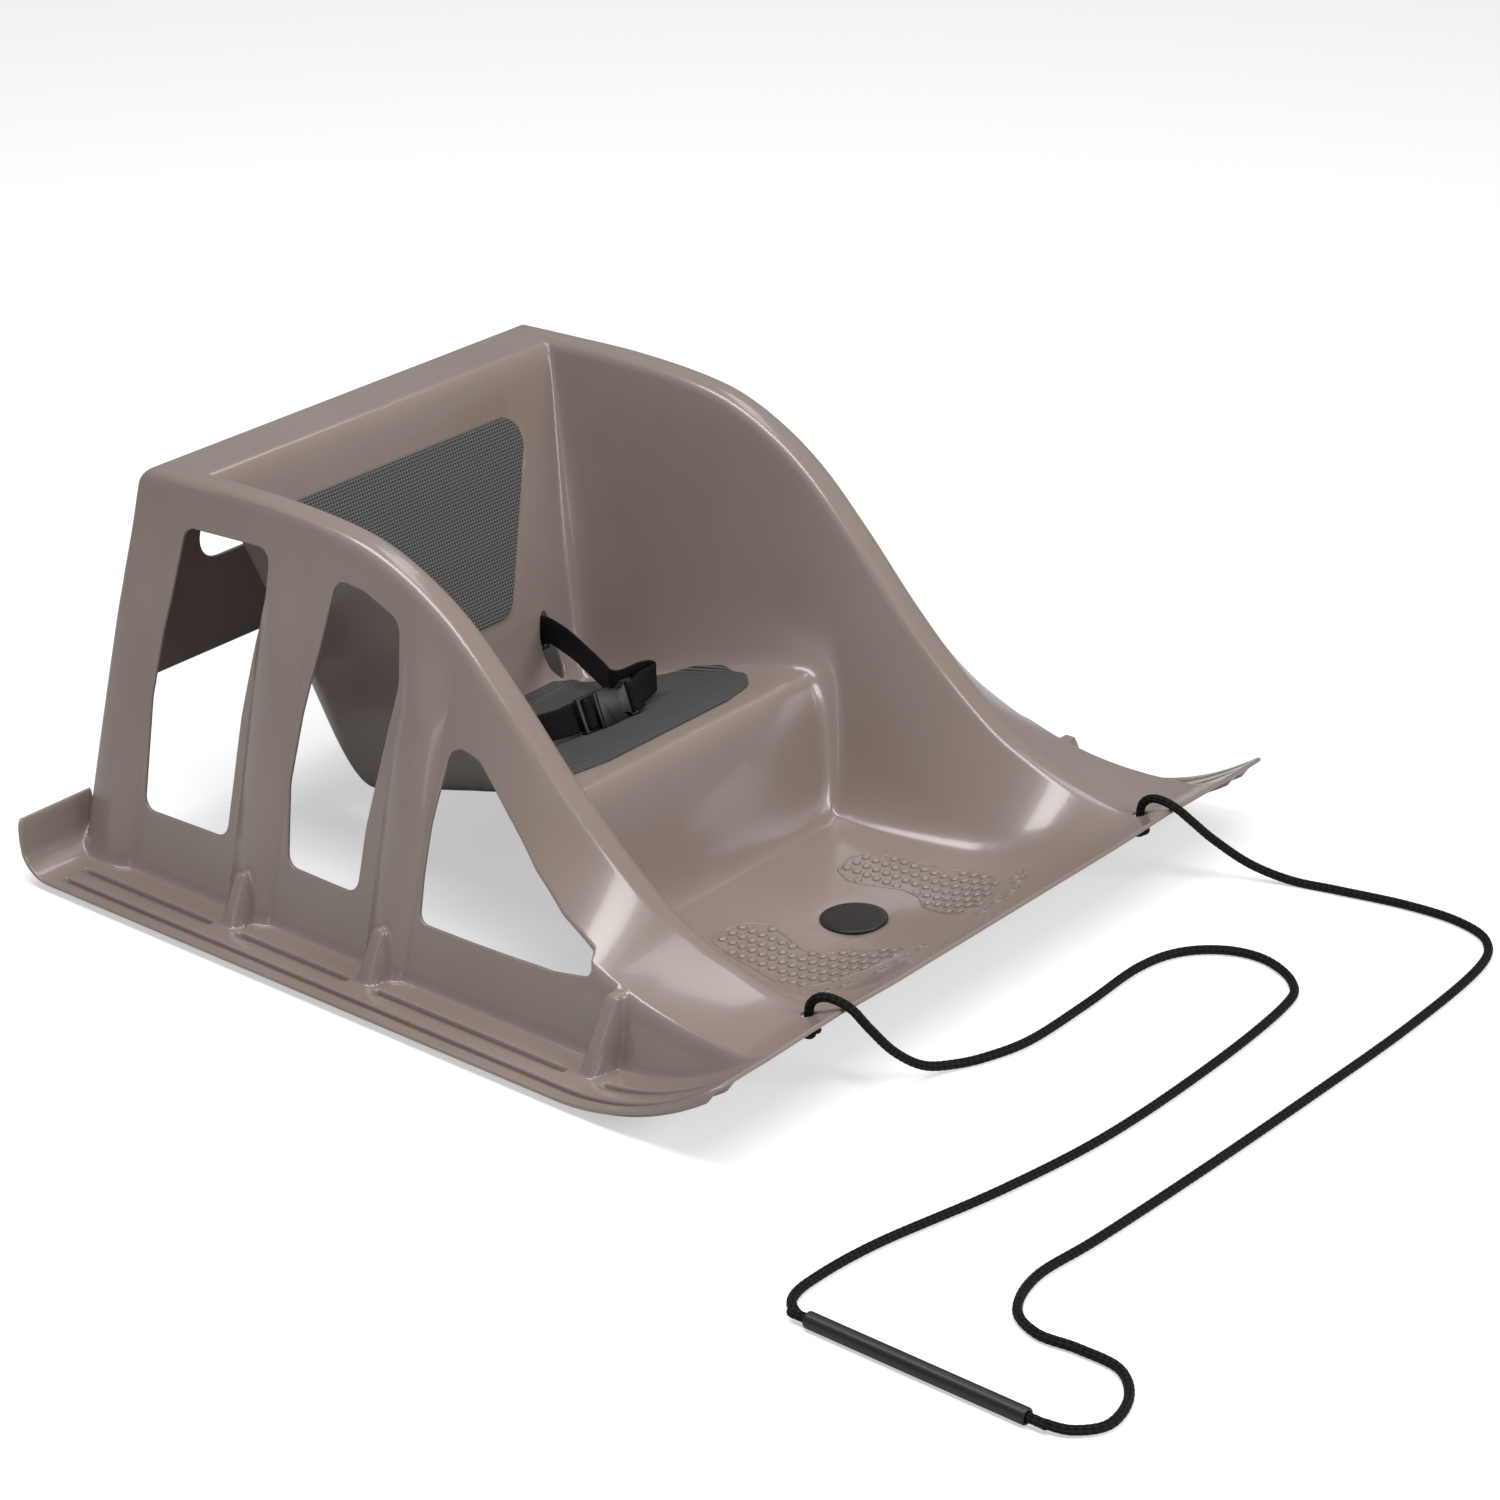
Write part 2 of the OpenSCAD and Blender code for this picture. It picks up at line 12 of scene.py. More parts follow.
import bpy
import numpy as np
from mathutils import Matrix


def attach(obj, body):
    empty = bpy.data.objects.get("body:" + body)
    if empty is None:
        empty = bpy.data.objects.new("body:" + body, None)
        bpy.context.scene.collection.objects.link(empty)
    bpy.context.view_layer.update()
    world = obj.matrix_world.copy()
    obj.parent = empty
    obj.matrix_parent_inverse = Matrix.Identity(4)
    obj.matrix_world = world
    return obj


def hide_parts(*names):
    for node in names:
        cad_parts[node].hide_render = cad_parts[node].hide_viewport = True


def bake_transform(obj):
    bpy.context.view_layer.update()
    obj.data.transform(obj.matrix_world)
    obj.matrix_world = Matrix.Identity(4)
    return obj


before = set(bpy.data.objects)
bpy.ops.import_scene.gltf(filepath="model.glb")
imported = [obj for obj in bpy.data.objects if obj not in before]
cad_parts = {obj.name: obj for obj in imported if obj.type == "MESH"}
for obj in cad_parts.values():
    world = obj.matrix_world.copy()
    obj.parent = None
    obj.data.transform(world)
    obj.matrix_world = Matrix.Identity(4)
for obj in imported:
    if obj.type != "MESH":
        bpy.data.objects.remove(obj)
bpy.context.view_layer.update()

log = logging.getLogger("pull_sled")
Array = np.ndarray
Number = Union[float, Array]
Field = Callable[[Array, Array, Array], Array]
MM = 0.001
FAR = 1000.0
# the foot of the back plane, which leans back from here
BACK_Y, BACK_Z = 161, 62


class Body(Enum):
    """The frame's bodies that pieces ride on."""

    SLED = "sled"
    PLUG = "plug"
    ARM_UPPER = "arm_upper"
    ARM_LOWER = "arm_lower"
    HANDLE = "handle"


class Slot(Enum):
    """The record's material slots."""

    SHELL = "shell"
    MAT = "mat"
    WEBBING = "webbing"
    BUCKLE = "buckle"
    BADGE = "badge"
    ROPE = "rope"
    HANDLE = "handle"


# Shader maths

class Val:
    """A number in a shader tree. Arithmetic on it adds Math nodes."""

    def __init__(self, paint: "Paint", socket: bpy.types.NodeSocket) -> None:
        """Keeps the tree and the socket that gives the number."""
        self.paint = paint
        self.socket = socket

    def _math(self, operation: str, *terms: object) -> "Val":
        """Adds one Math node.

        Args:
            operation: The node's operation.
            terms: Its inputs in order, numbers or Val.

        Returns:
            The node's result.
        """
        node = self.paint.node("ShaderNodeMath", {"operation": operation}, dict(enumerate(terms)))
        return Val(self.paint, node.outputs[0])

    def __add__(self, other: object) -> "Val":
        """self + other."""
        return self._math("ADD", self, other)

    def __sub__(self, other: object) -> "Val":
        """self - other."""
        return self._math("SUBTRACT", self, other)

    def __mul__(self, other: object) -> "Val":
        """self * other."""
        return self._math("MULTIPLY", self, other)

    def __truediv__(self, other: object) -> "Val":
        """self / other."""
        return self._math("DIVIDE", self, other)

    __radd__ = __add__
    __rmul__ = __mul__

    def wave(self, pitch: float, phase: float = 0.0) -> "Val":
        """Cosine of self with that pitch, from -1 to 1."""
        return self._math("COSINE", self * (2 * math.pi / pitch) + phase)

    def step(self, low: float, high: float) -> "Val":
        """Smooth step from 0 at low to 1 at high."""
        node = self.paint.node("ShaderNodeMapRange", {"interpolation_type": "SMOOTHSTEP"},
                               {"Value": self, "From Min": low, "From Max": high})
        return Val(self.paint, node.outputs[0])


class Paint:
    """One node material, built around a Principled shader."""

    def __init__(self, name: str) -> None:
        """Starts the material with its shader and output."""
        self.material = bpy.data.materials.new(name)
        self.material.use_nodes = True
        self.tree = self.material.node_tree
        self.tree.nodes.clear()
        self.shader = self.node("ShaderNodeBsdfPrincipled")
        self.output = self.node("ShaderNodeOutputMaterial", sockets={"Surface": self.shader.outputs[0]})

    def node(self, kind: str, settings: dict | None = None, sockets: dict | None = None) -> bpy.types.Node:
        """Adds a node.

        Args:
            kind: Blender's name for the node type.
            settings: Properties set before anything else.
            sockets: Values or links of its inputs, by name or index.

        Returns:
            The node.
        """
        made = self.tree.nodes.new(kind)
        for key, value in (settings or {}).items():
            setattr(made, key, value)
        for key, value in (sockets or {}).items():
            value = value.socket if isinstance(value, Val) else value
            if isinstance(value, bpy.types.NodeSocket):
                self.tree.links.new(value, made.inputs[key])
            else:
                made.inputs[key].default_value = value
        return made

    def parts(self, vector: bpy.types.NodeSocket) -> tuple[Val, Val, Val]:
        """The three numbers of a vector."""
        split = self.node("ShaderNodeSeparateXYZ", sockets={0: vector})
        return Val(self, split.outputs[0]), Val(self, split.outputs[1]), Val(self, split.outputs[2])

    def place(self) -> bpy.types.NodeSocket:
        """Object coordinates, in metres."""
        return self.node("ShaderNodeTexCoord").outputs["Object"]

    def cloth(self) -> tuple[Val, Val, Val]:
        """The piece's own UV map, in metres across and along."""
        return self.parts(self.node("ShaderNodeUVMap", {"uv_map": "UVMap"}).outputs[0])

    def noise(self, vector: bpy.types.NodeSocket, scale: float, detail: float = 3.0) -> Val:
        """Noise of that scale, from 0 to 1."""
        made = self.node("ShaderNodeTexNoise", sockets={"Vector": vector, "Scale": scale, "Detail": detail})
        return Val(self, made.outputs[0])

    def mix(self, mask: Val, first: Sequence[float], second: object) -> bpy.types.NodeSocket:
        """A colour between first, where mask is 0, and second, where it is 1."""
        made = self.node("ShaderNodeMix", {"data_type": "RGBA"}, {0: mask, 6: first, 7: second})
        return made.outputs[2]

    def bump(self, height: Val, depth: float, strength: float = 1.0) -> None:
        """Raises the surface by height times depth, in metres."""
        made = self.node("ShaderNodeBump", sockets={
            "Height": height, "Distance": depth, "Strength": strength})
        self.tree.links.new(made.outputs[0], self.shader.inputs["Normal"])

    def constants(self, **values: object) -> None:
        """Sets numbers that are the same all over on the shader's own sockets."""
        for key, value in values.items():
            self.shader.inputs[key.replace("_", " ")].default_value = value

    def drive(self, socket: str, value: object) -> None:
        """Links a varying number or colour to one of the shader's sockets."""
        self.tree.links.new(value.socket if isinstance(value, Val) else value, self.shader.inputs[socket])


def grey(value: float, warm: float = 0.0) -> tuple[float, float, float, float]:
    """A linear grey, with warm moving it towards red."""
    return (value * (1 + warm), value, value * (1 - warm), 1.0)


@dataclass(frozen=True)
class MouldedPlastic:
    """Glossy moulded shell: faint mottling, light orange peel and fine handling marks."""

    name: str = "taupe_moulding"
    colour: tuple[float, float, float, float] = (0.250, 0.199, 0.176, 1.0)
    shade: tuple[float, float, float, float] = (0.232, 0.182, 0.159, 1.0)
    gloss: float = 0.22

    def build(self) -> bpy.types.Material:
        """Makes the material."""
        paint = Paint(self.name)
        here = paint.place()
        cloud = paint.noise(here, 9.0, 2.0)
        peel = paint.noise(here, 260.0, 2.0)
        marks = paint.noise(paint.node("ShaderNodeMapping", sockets={
            "Vector": here, "Scale": (30.0, 260.0, 60.0)}).outputs[0], 3.0, 4.0)
        paint.drive("Base Color", paint.mix(cloud.step(0.3, 0.7), self.colour, self.shade))
        paint.drive("Roughness", self.gloss + 0.02 * marks.step(0.5, 0.85) + 0.05 * cloud)
        paint.bump(peel, 0.00004, 0.25)
        paint.constants(Coat_Weight=0.35, Coat_Roughness=0.08)
        return paint.material


class Press(Enum):
    """The pattern pressed into a mat."""

    CELLS = "cells"
    RIBS = "ribs"


@dataclass(frozen=True)
class PressedFoam:
    """Dark foam mat pressed with a grid of small raised cells, or with fine ribs."""

    name: str
    press: Press
    pitch: float
    high: tuple[float, float, float, float]
    low: tuple[float, float, float, float] = grey(0.022)

    def build(self) -> bpy.types.Material:
        """Makes the material."""
        paint = Paint(self.name)
        across, along, _ = paint.cloth()
        if self.press is Press.CELLS:
            cell = 0.5 + 0.25 * across.wave(self.pitch) + 0.25 * along.wave(self.pitch)
            height = cell.step(0.12, 0.62)
        else:
            rib = 0.5 + 0.5 * across.wave(self.pitch)
            height = rib.step(0.05, 0.7) * (0.85 + 0.15 * along.wave(self.pitch * 1.3))
        grain = paint.noise(paint.place(), 900.0)
        paint.drive("Base Color", paint.mix(height * (0.8 + 0.4 * grain), self.low, self.high))
        paint.drive("Roughness", 0.66 + 0.2 * grain)
        paint.bump(height + 0.2 * grain, 0.0005, 0.8)
        paint.constants(Specular_IOR_Level=0.3)
        return paint.material


@dataclass(frozen=True)
class Webbing:
    """Black woven strap: cross ribs over columns of warp, with a tight selvedge."""

    name: str = "black_webbing"
    thread: tuple[float, float, float, float] = grey(0.0125)
    gap: tuple[float, float, float, float] = grey(0.0015)
    rib: float = 0.0017

    def build(self) -> bpy.types.Material:
        """Makes the material."""
        paint = Paint(self.name)
        across, along, _ = paint.cloth()
        warp = 0.5 + 0.5 * across.wave(0.0022)
        ribs = 0.5 + 0.5 * (along + 0.0004 * across.wave(0.0044)).wave(self.rib)
        fuzz = paint.noise(paint.place(), 1500.0)
        height = ribs.step(0.1, 0.8) * (0.55 + 0.45 * warp)
        paint.drive("Base Color", paint.mix(height * (0.7 + 0.6 * fuzz), self.gap, self.thread))
        paint.drive("Roughness", 0.55 + 0.25 * fuzz)
        paint.bump(height + 0.15 * fuzz, 0.0004, 0.8)
        paint.constants(Specular_IOR_Level=0.15)
        return paint.material


@dataclass(frozen=True)
class BraidedCord:
    """Black braid: two sets of crossing strands, each of fine filaments."""

    name: str = "black_braid"
    thread: tuple[float, float, float, float] = grey(0.011)
    gap: tuple[float, float, float, float] = grey(0.0004)
    strands: int = 4
    pitch: float = 0.0085

    def build(self) -> bpy.types.Material:
        """Makes the material."""
        paint = Paint(self.name)
        around, along, _ = paint.cloth()
        left = around * float(self.strands) + along / self.pitch
        right = around * float(self.strands) - along / self.pitch
        lift = 0.5 + 0.5 * left.wave(1.0) * right.wave(1.0)
        hair = 0.5 + 0.5 * (around * 24.0 + along / 0.0024).wave(1.0)
        height = lift.step(0.15, 0.75)
        paint.drive("Base Color", paint.mix(height * (0.7 + 0.3 * hair), self.gap, self.thread))
        paint.drive("Roughness", 0.55 + 0.2 * hair)
        paint.bump(height + 0.12 * hair, 0.0009, 1.0)
        paint.constants(Specular_IOR_Level=0.18)
        return paint.material


@dataclass(frozen=True)
class SatinBlack:
    """Black hard plastic with a fine spark texture."""

    name: str
    tone: float = 0.012
    gloss: float = 0.33
    grain: float = 700.0
    depth: float = 0.00003

    def build(self) -> bpy.types.Material:
        """Makes the material."""
        paint = Paint(self.name)
        here = paint.place()
        fine = paint.noise(here, self.grain)
        broad = paint.noise(here, 45.0)
        paint.drive("Base Color", paint.mix(broad.step(0.3, 0.7), grey(self.tone), grey(self.tone * 1.35)))
        paint.drive("Roughness", self.gloss + 0.1 * fine + 0.05 * broad)
        paint.bump(fine, self.depth, 0.5)
        return paint.material


# Outlines, smooth joins and meshes

def smin(a: Number, b: Number, k: Number) -> Array:
    """Smaller of a and b, its corner rounded over k: min(a, b) less a quarter of k times h squared,
    where h falls from 1 to 0 as a and b come k apart."""
    h = np.maximum(k - np.abs(a - b), 0.0) / k
    return np.minimum(a, b) - h * h * k / 4


def smax(a: Number, b: Number, k: Number) -> Array:
    """Larger of a and b, its corner rounded over k."""
    return -smin(-a, -b, k)


def ease(t: Number) -> Array:
    """Smooth step: 3 t squared less 2 t cubed, t held between 0 and 1."""
    c = np.clip(t, 0.0, 1.0)
    return c * c * (3 - 2 * c)


def matched_curve(points: Array, at: Array) -> Array:
    """Cubic pieces through points whose slope at a point is that between its two neighbours.

    Args:
        points: Rows of place and value.
        at: The places that are asked for.

    Returns:
        The values there.
    """
    px, py = points[:, 0], points[:, 1]
    slope = np.empty_like(py)
    slope[1:-1] = (py[2:] - py[:-2]) / (px[2:] - px[:-2])
    slope[0], slope[-1] = (py[1] - py[0]) / (px[1] - px[0]), (py[-1] - py[-2]) / (px[-1] - px[-2])
    i = np.clip(np.searchsorted(px, at) - 1, 0, len(px) - 2)
    h = px[i + 1] - px[i]
    t = (at - px[i]) / h
    return ((2 * t**3 - 3 * t**2 + 1) * py[i] + (t**3 - 2 * t**2 + t) * slope[i] * h
            + (3 * t**2 - 2 * t**3) * py[i + 1] + (t**3 - t**2) * slope[i + 1] * h)


def fall(t: Array, radius: float, slope: Array) -> Array:
    """How far a wall has fallen at t: a quarter roll of that radius, and a straight line where it
    reaches the slope."""
    turn = radius * slope / np.sqrt(1 + slope**2)
    roll = radius - np.sqrt(np.maximum(radius**2 - t**2, 0.0))
    line = radius - radius / np.sqrt(1 + slope**2) + slope * (t - turn)
    return np.where(t <= 0, 0.0, np.where(t < turn, roll, line))


def rounded_outline(corners: Sequence[Sequence[float]], radii: Sequence[float], turns: int = 7) -> Array:
    """A closed outline whose corners are true arcs.

    Args:
        corners: Corner points in order.
        radii: Radius at each corner; 0 leaves it sharp.
        turns: Points on each arc.

    Returns:
        The outline's points.
    """
    p = np.array(corners, float)
    rows = []
    for i, r in enumerate(radii):
        a = p[i - 1] - p[i]
        b = p[(i + 1) % len(p)] - p[i]
        a, b = a / np.linalg.norm(a), b / np.linalg.norm(b)
        if r == 0:
            rows.append(p[i:i + 1])
            continue
        half = math.acos(float(np.clip(a @ b, -1, 1))) / 2
        middle = p[i] + (a + b) / np.linalg.norm(a + b) * r / math.sin(half)
        first, last = p[i] + a * r / math.tan(half), p[i] + b * r / math.tan(half)
        t0 = math.atan2(*(first - middle)[::-1])
        sweep = (math.atan2(*(last - middle)[::-1]) - t0 + math.pi) % (2 * math.pi) - math.pi
        t = t0 + sweep * np.linspace(0, 1, turns)
        rows.append(middle + r * np.stack([np.cos(t), np.sin(t)], 1))
    return np.concatenate(rows)


def outside(px: Array, py: Array, outline: Array, reach: float = 6.0) -> Array:
    """Signed distance from a closed outline, positive outside it.

    The distance is the smallest one to any of its sides, and the sign counts how often a line
    towards +x crosses them. Points further off than reach get a large number.
    """
    result = np.full(px.shape, FAR)
    low, high = outline.min(0) - reach, outline.max(0) + reach
    near = (px > low[0]) & (px < high[0]) & (py > low[1]) & (py < high[1])
    if not near.any():
        return result
    x, y = px[near][:, None], py[near][:, None]
    a, b = outline, np.roll(outline, -1, 0)
    side = b - a
    t = np.clip(((x - a[:, 0]) * side[:, 0] + (y - a[:, 1]) * side[:, 1]) / (side**2).sum(1), 0, 1)
    gap = np.hypot(x - a[:, 0] - t * side[:, 0], y - a[:, 1] - t * side[:, 1]).min(1)
    crosses = (a[:, 1] > y) != (b[:, 1] > y)
    rise = np.where(np.abs(side[:, 1]) < 1e-9, 1e-9, side[:, 1])
    right = x < a[:, 0] + (y - a[:, 1]) * side[:, 0] / rise
    inside = (crosses & right).sum(1) % 2 == 1
    result[near] = np.where(inside, -gap, gap)
    return result


def quarter_sink(gap: Array, edge: float, depth: float) -> Array:
    """How far a face sinks at that distance from a cut: a quarter round of width edge, depth deep."""
    return depth - depth * np.sqrt(np.maximum(1 - (1 - gap / edge)**2, 0.0))


def stations(marks: Sequence[tuple[float, float]], start: float) -> Array:
    """Grid lines from start to each mark in turn, no further apart than the step given with it."""
    rows, here = [np.array([start])], start
    for end, step in marks:
        count = max(1, math.ceil((end - here) / step - 1e-9))
        rows.append(np.linspace(here, end, count + 1)[1:])
        here = end
    return np.concatenate(rows)


def placed(name: str, data: bpy.types.ID | None) -> bpy.types.Object:
    """Makes an object of that data and puts it in the scene."""
    made = bpy.data.objects.new(name, data)
    bpy.context.scene.collection.objects.link(made)
    return made


class Sheet:
    """Triangles over a plane of two parameters, which can be cut along the zero line of a field."""

    def __init__(self, across: Array, along: Array) -> None:
        """Starts with a full grid of the given lines."""
        nx, ny = len(across), len(along)
        self.at = np.stack(np.meshgrid(across, along), 2).reshape(-1, 2)
        i = (np.arange(ny - 1)[:, None] * nx + np.arange(nx - 1)).ravel()
        flip = (self.at[i, 0] + self.at[i + 1, 0] > 0)[:, None]
        one = np.where(flip, np.stack([i, i + 1, i + nx + 1], 1), np.stack([i, i + 1, i + nx], 1))
        two = np.where(flip, np.stack([i, i + nx + 1, i + nx], 1), np.stack([i + 1, i + nx + 1, i + nx], 1))
        self.tris = np.concatenate([one, two])

    def _insert(self, choose: Callable[[Array, Array], Array]) -> None:
        """Puts a new point on chosen edges and divides the triangles that share them.

        Args:
            choose: Takes the two ends of every edge and gives how far along it the new point lies,
                or a not-a-number value for an edge that stays whole.
        """
        pairs = np.stack([self.tris, np.roll(self.tris, -1, 1)], 2).reshape(-1, 2)
        edges, back = np.unique(np.sort(pairs, 1), axis=0, return_inverse=True)
        back = back.reshape(-1)
        t = choose(edges[:, 0], edges[:, 1])
        cut = np.isfinite(t)
        number = np.full(len(edges), -1)
        number[cut] = len(self.at) + np.arange(cut.sum())
        a, b = self.at[edges[cut, 0]], self.at[edges[cut, 1]]
        self.at = np.concatenate([self.at, a + (b - a) * t[cut, None]])
        new = number[back].reshape(-1, 3)
        count = (new >= 0).sum(1)
        kept = [self.tris[count == 0]]
        for wanted in (1, 2, 3):
            rows = np.nonzero(count == wanted)[0]
            if not len(rows):
                continue
            # turn each triangle until its divided edges come first
            flags = new[rows] >= 0
            turn = {1: np.argmax(flags, 1), 2: (np.argmin(flags, 1) + 1) % 3, 3: 0 * rows}[wanted]
            order = (turn[:, None] + np.arange(3)) % 3
            v = np.take_along_axis(self.tris[rows], order, 1).T
            n = np.take_along_axis(new[rows], order, 1).T
            shapes = {1: [(v[0], n[0], v[2]), (n[0], v[1], v[2])],
                      2: [(n[0], v[1], n[1]), (v[0], n[0], n[1]), (v[0], n[1], v[2])],
                      3: [(v[0], n[0], n[2]), (n[0], v[1], n[1]), (n[2], n[1], v[2]), (n[0], n[1], n[2])]}
            kept += [np.stack(s, 1) for s in shapes[wanted]]
        self.tris = np.concatenate(kept)

    def refine(self, field: Callable[[Array], Array], place: Callable[[Array], Array], longest: float,
               reach: float) -> None:
        """Halves edges longer than longest that may come within reach of the field's zero line."""
        value, spot = np.abs(field(self.at)), place(self.at)

        def middle(a: Array, b: Array) -> Array:
            """One half for the edges to divide."""
            span = np.linalg.norm(spot[a] - spot[b], axis=1)
            close = np.minimum(value[a], value[b]) < reach + 0.6 * span
            return np.where((span > longest) & close, 0.5, np.nan)

        self._insert(middle)

    def split(self, field: Callable[[Array], Array], level: float) -> None:
        """Adds an edge line where the field has the given level."""
        value = field(self.at) - level
        value[np.abs(value) < 0.02] = 0.0

        def crossing(a: Array, b: Array) -> Array:
            """Where the edge from a to b crosses, mended twice by the field's value there."""
            va, vb = value[a], value[b]
            with np.errstate(divide="ignore", invalid="ignore"):
                t = np.where(va * vb < 0, va / (va - vb), np.nan)
            rows = np.isfinite(t)
            for _ in range(2):
                spot = self.at[a[rows]] + (self.at[b[rows]] - self.at[a[rows]]) * t[rows, None]
                t[rows] = np.clip(t[rows] + (field(spot) - level) / (va[rows] - vb[rows]), 0.02, 0.98)
            return t

        self._insert(crossing)

    def drop(self, field: Callable[[Array], Array]) -> None:
        """Takes out the triangles whose middle lies where the field is negative."""
        self.tris = self.tris[field(self.at[self.tris].mean(1)) > 0]
        used, tris = np.unique(self.tris, return_inverse=True)
        self.at, self.tris = self.at[used], tris.reshape(-1, 3)

    def cut(self, field: Callable[[Array], Array], place: Callable[[Array], Array], edge: float,
            longest: float = 3.0) -> None:
        """Cuts the sheet along the field's zero line, with rings beside it for an edge of that radius."""
        for _ in range(4):
            self.refine(field, place, longest, 2.0)
        self.split(field, 0.0)
        self.drop(field)
        for share in (0.16, 0.5, 1.0):
            self.split(field, share * edge)

    def rim(self) -> Array:
        """The points that lie on an open edge."""
        pairs = np.sort(np.stack([self.tris, np.roll(self.tris, -1, 1)], 2).reshape(-1, 2), 1)
        edges, count = np.unique(pairs, axis=0, return_counts=True)
        return np.unique(edges[count == 1])

    def solid(self, top: Array, low: Array) -> tuple[Array, Array]:
        """Closes the sheet into a solid: its rim is shared by the top and the underside.

        Args:
            top: Points of the upper side.
            low: Points of the lower side.

        Returns:
            The solid's points and triangles.
        """
        rim = np.zeros(len(self.at), bool)
        rim[self.rim()] = True
        number = np.where(rim, np.arange(len(self.at)), len(self.at) + np.cumsum(~rim) - 1)
        joined = np.where(rim[:, None], (top + low) / 2, top)
        return np.concatenate([joined, low[~rim]]), np.concatenate([self.tris, number[self.tris][:, ::-1]])


def area_normals(points: Array, tris: Array) -> Array:
    """Point normals that weigh each triangle's normal by its area, so flats stay flat beside roundings."""
    a, b, c = (points[tris[:, k]] for k in range(3))
    face = np.cross(b - a, c - a)
    total = np.stack([np.bincount(tris.ravel(), np.repeat(face[:, k], 3), len(points)) for k in range(3)], 1)
    return total / np.maximum(np.linalg.norm(total, axis=1, keepdims=True), 1e-12)


@dataclass(frozen=True)
class Piece:
    """How a finished mesh joins the sled: its name, finish, slot, body and the CAD nodes it stands for."""

    name: str
    finish: bpy.types.Material
    slot: Slot
    body: Body = Body.SLED
    nodes: tuple[str, ...] = ()

    def make(self, points: Array, faces: Array, uv: Array | None = None,
             weighted: bool = False) -> bpy.types.Object:
        """Builds the object from points in millimetres.

        Args:
            points: The mesh's points.
            faces: Rows of three or four point numbers, facing outwards.
            uv: A UV pair for each corner of each face, in face order.
            weighted: Whether the points get area-weighted normals.

        Returns:
            The new object, not yet riding on its body.
        """
        mesh = bpy.data.meshes.new(self.name)
        mesh.from_pydata((np.asarray(points, float) * MM).tolist(), [], faces.tolist())
        if uv is not None:
            layer = mesh.uv_layers.new(name="UVMap")
            layer.data.foreach_set("uv", np.asarray(uv, np.float32).ravel())
        mesh.polygons.foreach_set("use_smooth", np.ones(len(mesh.polygons), bool))
        mesh.materials.append(self.finish)
        mesh.update()
        if weighted:
            mesh.normals_split_custom_set_from_vertices(area_normals(points, faces).tolist())
        made = placed(self.name, mesh)
        log.info("%s: %d points, %d faces", self.name, len(points), len(faces))
        return made

    def join(self, made: bpy.types.Object) -> bpy.types.Object:
        """Lets the object ride on its body and stand for its nodes."""
        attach(made, self.body.value)
        return self.stand_for(made)

    def stand_for(self, made: bpy.types.Object) -> bpy.types.Object:
        """Hides the CAD nodes that the object stands for."""
        if self.nodes:
            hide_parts(*self.nodes)
        return made


def tube_faces(rings: int, sides: int, first: int = 0) -> Array:
    """Quads of a tube whose points run ring by ring, facing out when a ring turns left along its way."""
    j, k = np.meshgrid(np.arange(rings - 1), np.arange(sides), indexing="ij")
    a, b = (j * sides + k).ravel(), (j * sides + (k + 1) % sides).ravel()
    return np.stack([a, b, b + sides, a + sides], 1) + first


def tube_uv(along: Array, around: Array) -> Array:
    """UV pairs for the corners of tube_faces: around as u, along as v.

    Args:
        along: The v of each ring.
        around: The u of each side's start and of the last side's end.

    Returns:
        One pair a corner, in face order.
    """
    j, k = np.meshgrid(np.arange(len(along) - 1), np.arange(len(around) - 1), indexing="ij")
    j, k = j.ravel(), k.ravel()
    u = np.stack([around[k], around[k + 1], around[k + 1], around[k]], 1)
    v = np.stack([along[j], along[j], along[j + 1], along[j + 1]], 1)
    return np.stack([u, v], 2).reshape(-1, 2)


def capped_tube(rings: Array, along: Array, around: Array) -> tuple[Array, Array, Array]:
    """A closed tube from its rings, each end brought to its middle point.

    Args:
        rings: Points as rings by sides by three.
        along: The v of each ring.
        around: The u of each side's start and of the last side's end.

    Returns:
        Points, faces and UV pairs.
    """
    ends = [np.repeat(rings[i:i + 1].mean(1, keepdims=True), rings.shape[1], 1) for i in (0, -1)]
    full = np.concatenate([ends[0], rings, ends[1]])
    v = np.concatenate([along[:1], along, along[-1:]])
    return full.reshape(-1, 3), tube_faces(len(full), rings.shape[1]), tube_uv(v, around)


def smooth_path(points: Array, step: float) -> Array:
    """Even points, step apart, on a curve through the given ones.

    Each span is the cubic whose slope at a point is half the way between that point's neighbours.
    """
    p = np.concatenate([points[:1], points, points[-1:]])
    a, b, c, d = p[:-3], p[1:-2], p[2:-1], p[3:]
    t = np.linspace(0, 1, 24, endpoint=False)[None, :, None]
    a, b, c, d = (q[:, None, :] for q in (a, b, c, d))
    fine = 0.5 * (2 * b + (c - a) * t + (2 * a - 5 * b + 4 * c - d) * t**2 + (3 * b - a - 3 * c + d) * t**3)
    fine = np.concatenate([fine.reshape(-1, points.shape[1]), points[-1:]])
    length = distances(fine[:, :3])
    want = np.linspace(0, length[-1], max(2, round(length[-1] / step)) + 1)
    return np.stack([np.interp(want, length, fine[:, k]) for k in range(fine.shape[1])], 1)


def distances(path: Array) -> Array:
    """Distance from a path's start to each of its points."""
    return np.concatenate([[0], np.cumsum(np.linalg.norm(np.diff(path, axis=0), axis=1))])


def side_of(path: Array, up: Array) -> tuple[Array, Array]:
    """Two directions square to a path: one turned as little as can be from up, and the one beside it."""
    way = np.gradient(path, axis=0)
    way /= np.linalg.norm(way, axis=1, keepdims=True)
    first = up - (up * way).sum(1, keepdims=True) * way
    first /= np.linalg.norm(first, axis=1, keepdims=True)
    return first, np.cross(way, first)


